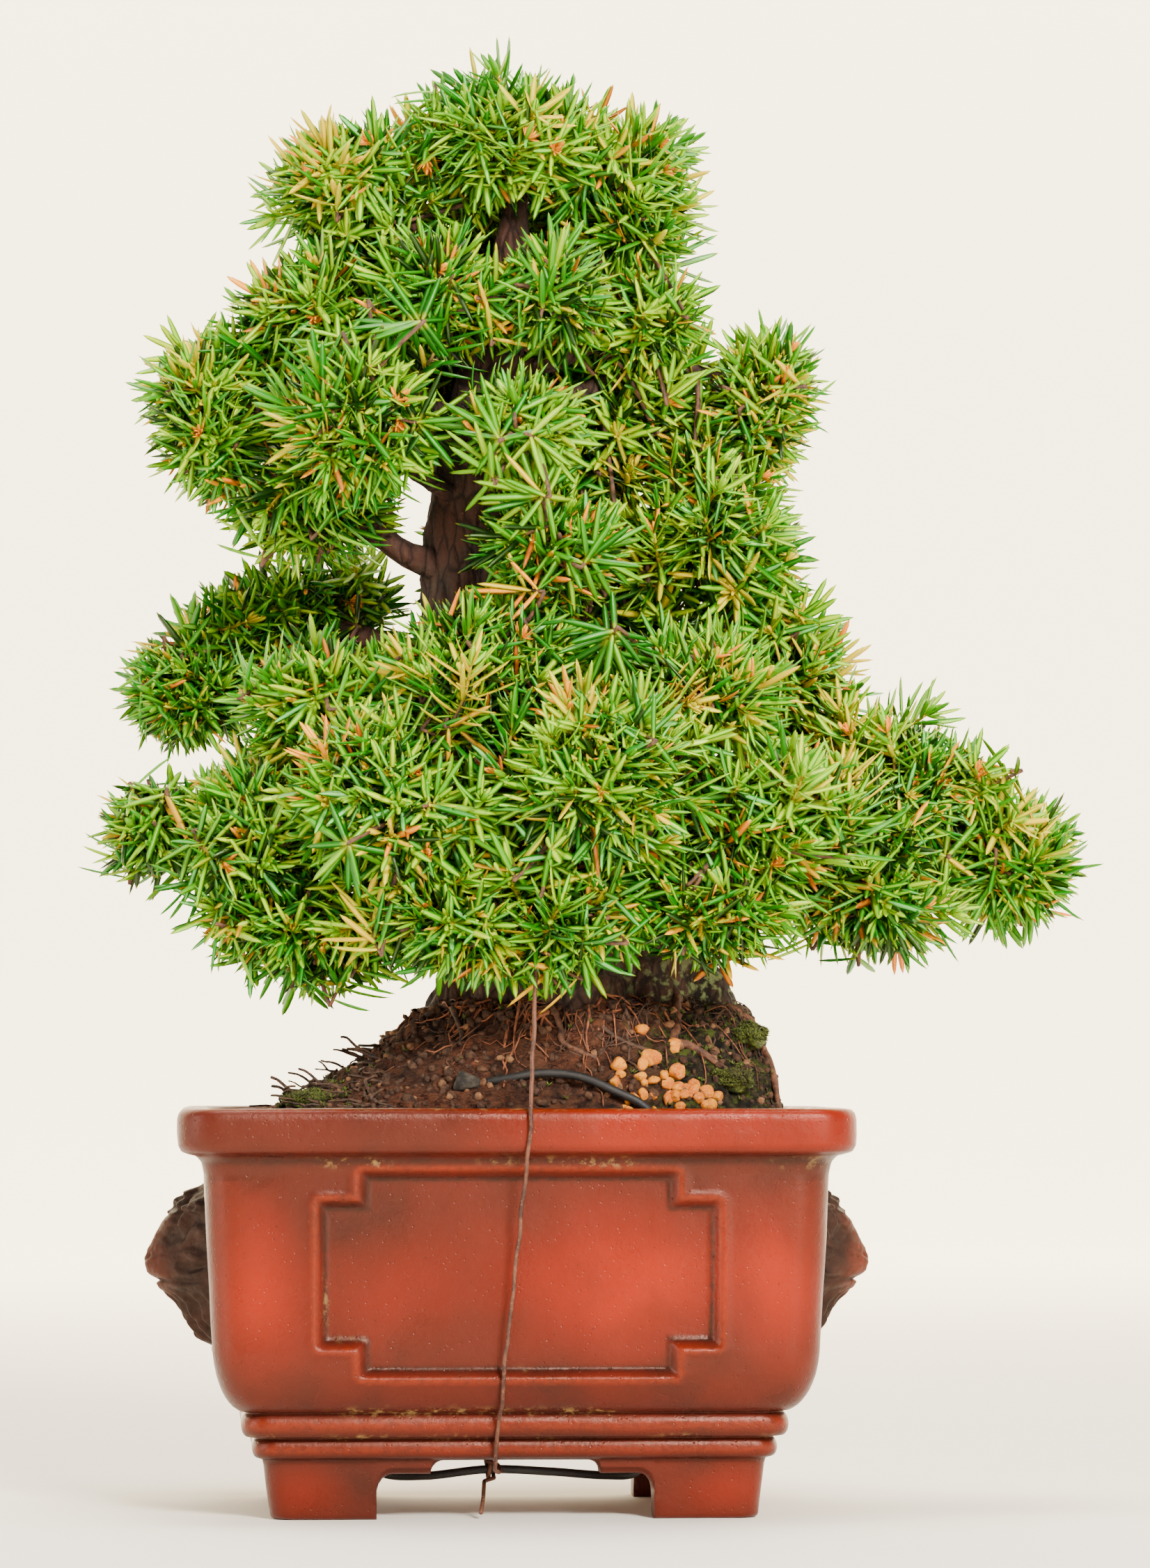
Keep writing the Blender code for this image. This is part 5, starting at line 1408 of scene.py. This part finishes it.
def make_wires():
    anchor = Batch()
    anchor.tube(catmull(ANCHOR_ROUTE, 8), ANCHOR_RADIUS, 14)
    declare(anchor.make("anchor_wire_drawn", LOOKS["anchor"]), "anchor_wire", "anchor_wire")
    loop = coil(np.array(KNOT_PLACE), KNOT_AXIS, KNOT_RADIUS, 0)
    twist = coil(np.array(TWIST_PLACE), TWIST_AXIS, TWIST_RADIUS, TWIST_START)
    down = catmull([loop[-1], *GUY_DOWN, twist[0]], 7)
    kinks = np.stack([fbm(down, 7.0, 2, 31.0), 0.5 * fbm(down, 7.0, 2, 57.0), 0 * down[:, 0]], -1)
    ease = np.minimum(np.arange(len(down)), np.arange(len(down))[::-1])[:, None] / 10
    down = down + 0.42 * kinks * np.clip(ease, 0, 1)
    route = np.vstack([loop[:-1], down[:-1], twist, catmull(GUY_TAIL, 5)])
    guy = Batch()
    guy.tube(route, GUY_RADIUS, 10)
    declare(guy.make("guy_wire_drawn", LOOKS["guy"]), "guy_wire", "guy_wire")


def make_clips():
    """The staples that hold the screens, and the screens' own material."""
    leg = 2 * 18 / 7
    top, under = FLOOR_TOP + 0.8 + 2 * GAP + CLIP_RADIUS, FLOOR_BOTTOM - GAP - CLIP_RADIUS
    bow = ANCHOR_RADIUS + CLIP_RADIUS + 2.5 * GAP
    half = [(bow, 1.6, top), (0.5, leg - 1.0, top), (0, leg - 0.2, top - 0.5), (0, leg, top - 1.4)]
    half += [(0, leg, under + 0.8), (0, leg + 0.5, under), (0, leg + 3.4, under)]
    whole = [(x, -y, z) for x, y, z in half[::-1]] + half
    for side, word in SIDES:
        clip = Batch()
        clip.tube(catmull([(side * DRAIN_X + x, y, z) for x, y, z in whole], 5), CLIP_RADIUS, 10)
        declare(clip.make("clip_" + word, LOOKS["anchor"]), "anchor_wire", "screen_clip_" + word)
        screen = bpy.data.objects["drain_screen_" + word]
        screen.data.materials.clear()
        screen.data.materials.append(LOOKS["screen"])


make_wires()
make_clips()

# --- Foliage ---

# Places along a needle from 0 to 1, and how wide it is at each.
STATIONS = np.array((0.0, 0.12, 0.38, 0.68, 0.88))
STATION_WIDTHS = np.array((0.5, 0.82, 1.0, 0.94, 0.62))
INNER_GROOVE, OUTER_KEEL = 0.08, 0.34
NEEDLE_LENGTH, NEEDLE_WIDTH, MISSING_SHARE = 11.2, 1.48, 0.04
WHORL_STEP, WHORL_TURN, STEM_SIDES = 1.45, math.pi / 3 * 1.07, 5
MAIN_SHARE = 0.62  # the share of a shoot's needles that are of one kind


class Needles:
    """Gathers needles: each is a narrow pointed blade, grooved on its inner face and keeled on its outer."""

    def __init__(self):
        self.parts = {key: [] for key in ("base", "along", "inner", "length", "width", "bend", "row")}

    def add(self, **values):
        count = len(values["base"])
        for key, value in values.items():
            shape = (count, 3) if key in ("base", "along", "inner") else (count,)
            self.parts[key].append(np.broadcast_to(value, shape))

    def make(self, name):
        base, along, inner, length, width, bend, row = (np.concatenate(self.parts[key]) for key in self.parts)
        n, rings = len(base), len(STATIONS)
        t = STATIONS[None, :, None]
        size, curve = length[:, None, None], bend[:, None, None]
        middle = base[:, None] + along[:, None] * size * t + inner[:, None] * curve * size * t**2
        tangent = unit(along[:, None] + inner[:, None] * 2 * curve * t)
        inward = unit(inner[:, None] - tangent * np.sum(inner[:, None] * tangent, -1, keepdims=True))
        side = np.cross(tangent, inward)
        wide = width[:, None, None] * STATION_WIDTHS[None, :, None]
        groove, keel = middle - inward * wide * INNER_GROOVE, middle - inward * wide * OUTER_KEEL
        ring = np.stack([middle + side * wide / 2, groove, middle - side * wide / 2, keel], 2)
        tip = base + along * length[:, None] + inner * (bend * length)[:, None]
        verts = np.concatenate([ring.reshape(n, rings * 4, 3), tip[:, None]], 1)
        per = rings * 4 + 1
        quads, quad_uv, tris, tri_uv = [], [], [], []
        for k in range(4):
            b = (k + 1) % 4
            v0, v1 = k / 4, (k + 1) / 4
            for i, (u0, u1) in enumerate(zip(STATIONS, STATIONS[1:])):
                quads.append((4 * i + k, 4 * i + 4 + k, 4 * i + 4 + b, 4 * i + b))
                quad_uv.append(((u0, v0), (u1, v0), (u1, v1), (u0, v1)))
            tris.append((per - 5 + k, per - 1, per - 5 + b))
            tri_uv.append(((STATIONS[-1], v0), (1.0, (v0 + v1) / 2), (STATIONS[-1], v1)))
        offsets = (np.arange(n) * per)[:, None, None]
        all_quads = (np.array(quads)[None] + offsets).reshape(-1, 4)
        all_tris = (np.array(tris)[None] + offsets).reshape(-1, 3)
        item = build(name, verts.reshape(-1, 3), [all_quads, all_tris], LOOKS["needles"])
        uv = []
        for table in (quad_uv, tri_uv):
            table = np.array(table)
            placed = np.broadcast_to(table[None], (n, *table.shape)).copy()
            placed[..., 1] = (row[:, None, None] + 0.06 + 0.88 * placed[..., 1]) / ROW_COUNT
            uv.append(placed.reshape(-1, 2))
        layer = item.data.uv_layers.new(name="OFBake")
        layer.data.foreach_set("uv", np.concatenate(uv).astype(np.float32).ravel())
        return item


def rows_from(weights, count):
    """A colour row for each needle of a shoot, by the weights of the kinds."""
    chances = np.array(weights) / sum(weights)
    main = RNG.choice(len(KINDS), p=chances)
    chosen = np.where(RNG.random(count) < MAIN_SHARE, main, RNG.choice(len(KINDS), count, p=chances))
    return np.array([RNG.integers(*KINDS[k]) for k in chosen])


def grow_shoot(needles, twigs, tip, direction, length, weights, crowd):
    """One shoot: a stem with whorls of three needles, spread wide below and drawn together at the tip."""
    direction = unit(direction)
    sag = unit(np.cross(direction, RNG.normal(0, 1, 3))) * length * 0.08
    steps = max(4, round(length / WHORL_STEP * crowd))
    s = np.linspace(0.12, 1.0, steps)
    base = tip - direction * length
    stem = base + direction * length * s[:, None] + sag * (np.sin(s * math.pi))[:, None]
    axis = unit(np.gradient(stem, axis=0))
    across = unit(np.cross(axis, RNG.normal(0, 1, 3)))
    other = np.cross(axis, across)
    places, alongs, inners, lengths = [], [], [], []
    start = RNG.uniform(0, math.pi)
    for j in range(steps):
        opening = math.radians(80 - 42 * s[j] ** 1.5)
        for m in range(3):
            turn = start + j * WHORL_TURN + m * 2 * math.pi / 3 + RNG.normal(0, 0.16)
            spread = opening + RNG.normal(0, 0.13)
            outwards = math.cos(turn) * across[j] + math.sin(turn) * other[j]
            places.append(stem[j] + outwards * 0.35)
            alongs.append(math.cos(spread) * axis[j] + math.sin(spread) * outwards)
            inners.append(math.sin(spread) * axis[j] - math.cos(spread) * outwards)
            grown = 0.8 + 0.3 * math.sin(min(1.0, s[j] * 1.25) * math.pi * 0.8)
            grown -= 0.3 * max(0.0, s[j] - 0.8) / 0.2
            lengths.append(NEEDLE_LENGTH * grown * RNG.uniform(0.86, 1.1))
    count = len(places)
    keep = RNG.random(count) > MISSING_SHARE
    row = rows_from(weights, count)
    lengths = np.array(lengths)
    needles.add(
        base=np.array(places)[keep],
        along=unit(np.array(alongs) + RNG.normal(0, 0.05, (count, 3)))[keep],
        inner=np.array(inners)[keep],
        length=lengths[keep],
        width=(NEEDLE_WIDTH * RNG.uniform(0.85, 1.12, count) * np.clip(lengths / 10.0, 0.6, 1.0))[keep],
        bend=RNG.normal(0.05, 0.05, count)[keep],
        row=row[keep],
    )
    youth = np.linspace(0.3, 1.0, steps + 1).repeat(STEM_SIDES).tolist() + [0.3, 1.0]
    twigs.tube(np.vstack([base, stem]), np.linspace(0.42, 0.3, steps + 1), STEM_SIDES, youth)
    return base, axis[-1]


def tip_cluster(needles, point, axis, kind, count, reach):
    """Short scales round the end of a shoot: a bud, or a spent cone."""
    across = unit(np.cross(axis, RNG.normal(0, 1, 3)))
    other = np.cross(axis, across)
    turn = RNG.uniform(0, 2 * math.pi, count)[:, None]
    spread = RNG.uniform(0.15, 1.25, count)[:, None]
    outwards = np.cos(turn) * across + np.sin(turn) * other
    length = RNG.uniform(0.55, 1.1, count) * reach
    needles.add(
        base=point + outwards * 0.2,
        along=np.cos(spread) * axis + np.sin(spread) * outwards,
        inner=np.sin(spread) * axis - np.cos(spread) * outwards,
        length=length,
        width=length * RNG.uniform(0.26, 0.42, count),
        bend=RNG.normal(0.15, 0.08, count),
        row=RNG.integers(*kind, count),
    )


def spread_directions(count):
    """Directions spread evenly over a sphere."""
    k = np.arange(count) + 0.5
    polar = np.arccos(1 - 2 * k / count)
    turn = math.pi * (1 + 5**0.5) * k
    return np.stack([np.cos(turn) * np.sin(polar), np.sin(turn) * np.sin(polar), np.cos(polar)], -1)


# Between the pads the foliage has closed up: centre and half sizes of each swelling.
SWELLINGS = (
    ((1, 0, 294), (17, 15, 12)), ((-25, 0, 266), (16, 14, 12)), ((-15, -12, 255), (12, 10, 12)),
    ((9, 5, 214), (14, 12, 20)), ((26, 5, 231), (16, 12, 16)), ((42, 0, 218), (14, 12, 12)),
    ((52, 0, 204), (12, 12, 10)), ((49, 0, 194), (14, 14, 10)), ((-5, -40, 171), (20, 12, 12)),
    ((19, -52, 157), (18, 12, 16)), ((39, -35, 171), (16, 12, 12)), ((9, -46, 124), (16, 12, 10)),
    ((39, -42, 124), (18, 12, 9)), ((59, -32, 146), (16, 14, 16)), ((76, -20, 141), (16, 14, 14)),
    ((89, -10, 152), (14, 12, 10)), ((-15, -46, 124), (16, 12, 9)), ((-53, -28, 137), (16, 14, 12)),
    ((-31, -42, 154), (16, 12, 14)), ((60, 20, 150), (18, 18, 14)), ((0, 46, 160), (22, 14, 16)),
    ((-50, 12, 152), (14, 16, 13)), ((-14, 16, 243), (14, 12, 12)), ((8, 16, 246), (14, 12, 12)),
    ((24, 8, 190), (14, 12, 12)), ((-20, 34, 172), (18, 14, 14)), ((40, 30, 176), (20, 16, 14)),
)  # fmt: skip
PAD_NAMES = [pad[0] for pad in PADS]
# The foliage's outside runs round all these lumps; each belongs to the pad that it is nearest to.
LUMPS = [pad[1:4] for pad in PADS] + [(*swelling, 0) for swelling in SWELLINGS]
PAD_CENTRES = np.array([lump[0] for lump in LUMPS], dtype=float)
PAD_SIZES = np.array([lump[1] for lump in LUMPS], dtype=float)
PAD_TURNS = np.array([np.array(Matrix.Rotation(math.radians(lump[2]), 3, "Y")) for lump in LUMPS])
OWNERS = [
    min(range(len(PADS)), key=lambda pad: np.sum(((centre - PAD_CENTRES[pad]) / PAD_SIZES[pad]) ** 2))
    for centre in PAD_CENTRES
]
ENVELOPE = 1.04  # needle tips reach this far out, in pad sizes
TIP_ROOM = 6.2  # from the end of a stem to that envelope
BLEND = 0.30  # how sharply neighbouring pads stay apart, per millimetre
SPACING, INNER_SPACING = 7.3, 12.5
STARTS_PER_LUMP = 150


def pad_distances(points):
    """From each point to each pad's surface, in millimetres, negative inside."""
    offset = points[:, None] - PAD_CENTRES[None]
    local = np.einsum("pji,npj->npi", PAD_TURNS, offset)
    stretch = np.linalg.norm(local / (PAD_SIZES * ENVELOPE), axis=-1)
    return np.linalg.norm(offset, axis=-1) * (1 - 1 / np.maximum(stretch, 0.05))


def canopy_distance(points):
    """The pads run together softly where they are close."""
    apart = pad_distances(points)
    return -np.log(np.exp(-BLEND * apart).sum(axis=1)) / BLEND


def canopy_normal(points):
    steps = np.eye(3) * 0.4
    return np.stack([canopy_distance(points + d) - canopy_distance(points - d) for d in steps], -1) / 0.8


def canopy_points():
    """Points spread evenly over the outside of the foliage, with the way out from it at each."""
    points = np.vstack(
        [
            centre + (spread_directions(STARTS_PER_LUMP) * sizes) @ turn.T
            for centre, sizes, turn in zip(PAD_CENTRES, PAD_SIZES * ENVELOPE, PAD_TURNS)
        ]
    )
    points += RNG.normal(0, 1.0, points.shape)
    for _ in range(7):
        slope = canopy_normal(points)
        steep = np.maximum(np.sum(slope**2, -1, keepdims=True), 0.05)
        points = points - np.clip(canopy_distance(points)[:, None] * slope / steep, -6, 6)
    points = points[np.abs(canopy_distance(points)) < 0.6]
    kept = np.empty((0, 3))
    for point in points[RNG.permutation(len(points))]:
        if len(kept) == 0 or np.min(np.sum((kept - point) ** 2, -1)) > SPACING**2:
            kept = np.vstack([kept, point])
    return kept, unit(canopy_normal(kept))


# The pads in the shade, and how common each kind of needle is in each mix.
SHADED = ("back_left", "back_left_outer", "right_upper_inner", "mid_back", "centre_low")
KINDS = (FRESH, MIDDLE, DEEP, YELLOW, ORANGE, DEAD, PAINTED_SHADE)
BRIGHT_MIX = (4.6, 3.2, 2.4, 0.4, 0.05, 0.05, 0.1)
SHADE_MIX = (2.2, 4.0, 3.2, 0.5, 0.08, 0.25, 0.4)
YELLOW_MIX = (3.0, 1.0, 0.3, 3.2, 0.7, 0.15, 0.0)
# Shoots deep inside the foliage take mostly the deep and dark rows: painted shade.
INNER_SHADE_MIX = (0.1, 0.5, 3.0, 0.05, 0.05, 0.5, 5.0)


def plan_shoots():
    """Each pad's shoots: tip, heading, length, colours, how close the whorls are, and if it is outside."""
    plan = {name: [] for name in PAD_NAMES}
    points, normals = canopy_points()
    nearest = np.argmin(pad_distances(points), axis=1)
    for point, normal, lump in zip(points, normals, nearest):
        name = PAD_NAMES[OWNERS[lump]]
        room = TIP_ROOM + RNG.normal(0, 1.7) - (3.5 if RNG.random() < 0.08 else 0.0)
        heading = unit(normal + (0, 0, 0.25) + RNG.normal(0, 0.36, 3))
        # Fresh yellow shoots are commoner to the right and in the crown.
        yellow = 0.08 + 0.2 * smoothstep(-10.0, 70.0, point[0]) + 0.14 * smoothstep(262.0, 280.0, point[2])
        mix = BRIGHT_MIX
        if name in SHADED or normal[2] < -0.35:
            mix = SHADE_MIX
        elif RNG.random() < yellow:
            mix = YELLOW_MIX
        length, crowd = RNG.uniform(12, 18), RNG.uniform(0.8, 1.05)
        plan[name].append((point - normal * room, heading, length, mix, crowd, True))
    for owner, centre, sizes, turn in zip(OWNERS, PAD_CENTRES, PAD_SIZES, PAD_TURNS):
        name = PAD_NAMES[owner]
        area = 4 * math.pi * float(np.mean(sizes)) ** 2
        for direction in spread_directions(round(area / INNER_SPACING**2)):
            direction = unit(direction + RNG.normal(0, 0.25, 3))
            offset = turn @ (direction * sizes) * RNG.uniform(0.30, 0.55)
            heading = unit(direction + RNG.normal(0, 0.5, 3))
            plan[name].append((centre + offset, heading, RNG.uniform(8, 12), INNER_SHADE_MIX, 0.62, False))
    return plan


# Up to each chance, what ends a shoot: the kind of its scales, how many, and how long.
BUDS = ((0.11, ORANGE, 13, 3.4), (0.15, DEAD, 12, 2.6), (0.38, YELLOW, 7, 3.8), (1.0, FRESH, 6, 4.6))


def crown_bud(needles, tip, axis):
    chance = RNG.random()
    _, kind, count, reach = next(bud for bud in BUDS if chance < bud[0])
    tip_cluster(needles, tip, axis, kind, count, reach)


def make_foliage():
    twigs = {"upper": Batch(), "lower": Batch()}
    plan = plan_shoots()
    for name in PAD_NAMES:
        needles = Needles()
        route = branch_routes[name]
        stems = twigs["lower" if name.startswith("skirt") else "upper"]
        for tip, heading, length, mix, crowd, outer in plan[name]:
            base, axis = grow_shoot(needles, stems, tip, heading, length, mix, crowd)
            nearest = route[np.argmin(np.linalg.norm(route - base, axis=1))]
            sway = (nearest + base) / 2 + RNG.normal(0, 1.2, 3)
            stems.tube(catmull([nearest, sway, base], 3), np.linspace(0.75, 0.42, 7), STEM_SIDES, 0.1)
            if outer:
                crown_bud(needles, tip, axis)
        declare(needles.make("needles_" + name), "foliage", "foliage_" + name)
    for word, batch in twigs.items():
        declare(batch.make("twigs_" + word, LOOKS["twig"]), "bark")


make_foliage()

# --- Setting, light and camera ---


FLOOR_HALF_WIDTH, FLOOR_FRONT, WALL_PLACE, WALL_TOP, WALL_BEND = 6000.0, -6000.0, 2600.0, 4200.0, 900.0


def make_setting():
    """A pale sheet that curves up behind the tree, brighter further away, as in the photo."""
    look = Look("backdrop", roughness=0.7, specular=0.2)
    cloud = look.noise(900.0, 2.0)
    backdrop = look.done(look.mix(look.span(cloud, 0.3, 0.7), srgb(248, 240, 226), srgb(242, 234, 220)), 0.75)
    depth = look.node("SeparateXYZ")
    look.feed(depth.inputs[0], look.where())
    look.shader.inputs["Emission Color"].default_value = (1.0, 0.86, 0.58, 1.0)
    away = look.node("VectorMath", operation="LENGTH")
    look.feed(away.inputs[0], look.where())
    far = look.span(away.outputs["Value"], 1.2, 3.6, 0.0, 0.8)
    glow = look.math("MAXIMUM", look.span(depth.outputs["Y"], 0.1, 1.6, 0.0, 4.1), far)
    look.feed(look.shader.inputs["Emission Strength"], glow)
    profile = [(FLOOR_FRONT, 0.0), (WALL_PLACE - WALL_BEND, 0.0)]
    for a in np.linspace(0, math.pi / 2, 16)[1:]:
        profile.append((WALL_PLACE - WALL_BEND * (1 - math.sin(a)), WALL_BEND * (1 - math.cos(a))))
    profile.append((WALL_PLACE, WALL_TOP))
    verts = [(x, y, z) for y, z in profile for x in (-FLOOR_HALF_WIDTH, FLOOR_HALF_WIDTH)]
    faces = [(2 * k, 2 * k + 1, 2 * k + 3, 2 * k + 2) for k in range(len(profile) - 1)]
    floor = build("floor", verts, np.array(faces), backdrop)


# Each lamp's place, what it points at, its width and height, its watts and its colour.
LAMPS = (
    ("key", (420, -1250, 820), (0, 0, 130), (320, 320), 46.0, (1.0, 0.96, 0.9)),
    ("left_strip", (-900, -350, 300), (0, 0, 90), (260, 800), 6.0, (1.0, 0.98, 0.95)),
    ("right_card", (330, -650, 150), (20, 0, 60), (240, 380), 1.9, (1.0, 0.97, 0.93)),
    ("top", (0, 0, 1300), (0, 0, 100), (500, 500), 23.0, (1.0, 0.98, 0.94)),
)


def area_light(name, place, target, size, energy, colour):
    data = bpy.data.lights.new(name, "AREA")
    data.shape = "RECTANGLE"
    data.size, data.size_y = size[0] * MM, size[1] * MM
    data.energy = energy
    data.color = colour
    item = link(name, data)
    item.location = world(place)
    item.rotation_euler = Vector(world(target) - world(place)).to_track_quat("-Z", "Y").to_euler()


CAMERA_PLACE = (-60.0, -1200.0, 91.8)
CAMERA_HEADING = (0.0620, 1.0, 0.0520)
FOCAL_PIXELS, PHOTO_HEIGHT, SENSOR = 8056.0, 2252.0, 36.0  # the lens, in pixels of the photo's height


def make_camera():
    data = bpy.data.cameras.new("camera")
    data.sensor_width = SENSOR
    data.lens = SENSOR * FOCAL_PIXELS / PHOTO_HEIGHT
    data.clip_start, data.clip_end = 0.01, 50.0
    item = link("camera", data)
    item.location = world(CAMERA_PLACE)
    item.rotation_euler = Vector(CAMERA_HEADING).to_track_quat("-Z", "Y").to_euler()
    bpy.context.scene.camera = item


def make_world():
    """Soft light from all round, brighter low down to the left and right."""
    sky = bpy.data.worlds.new("studio")
    bpy.context.scene.world = sky
    sky.use_nodes = True
    nodes, links = sky.node_tree.nodes, sky.node_tree.links
    split = nodes.new("ShaderNodeSeparateXYZ")
    links.new(nodes.new("ShaderNodeTexCoord").outputs["Generated"], split.inputs[0])
    sideways = nodes.new("ShaderNodeMath")
    sideways.operation = "ABSOLUTE"
    links.new(split.outputs["X"], sideways.inputs[0])
    spans = []
    for value, low, high, out_low, out_high in (
        (sideways.outputs[0], 0.45, 0.8, 0.0, 1.25),
        (split.outputs["Z"], 0.14, 0.34, 1.0, 0.0),
    ):
        span = nodes.new("ShaderNodeMapRange")
        span.interpolation_type = "SMOOTHSTEP"
        links.new(value, span.inputs["Value"])
        for key, number in (("From Min", low), ("From Max", high), ("To Min", out_low), ("To Max", out_high)):
            span.inputs[key].default_value = number
        spans.append(span.outputs["Result"])
    strength = nodes.new("ShaderNodeMath")
    strength.operation = "MULTIPLY_ADD"
    for value, socket in zip(spans, strength.inputs):
        links.new(value, socket)
    strength.inputs[2].default_value = 0.22
    background = nodes["Background"]
    background.inputs["Color"].default_value = (1.0, 0.97, 0.92, 1.0)
    links.new(strength.outputs[0], background.inputs["Strength"])


make_setting()
make_world()
for lamp in LAMPS:
    area_light(*lamp)
make_camera()
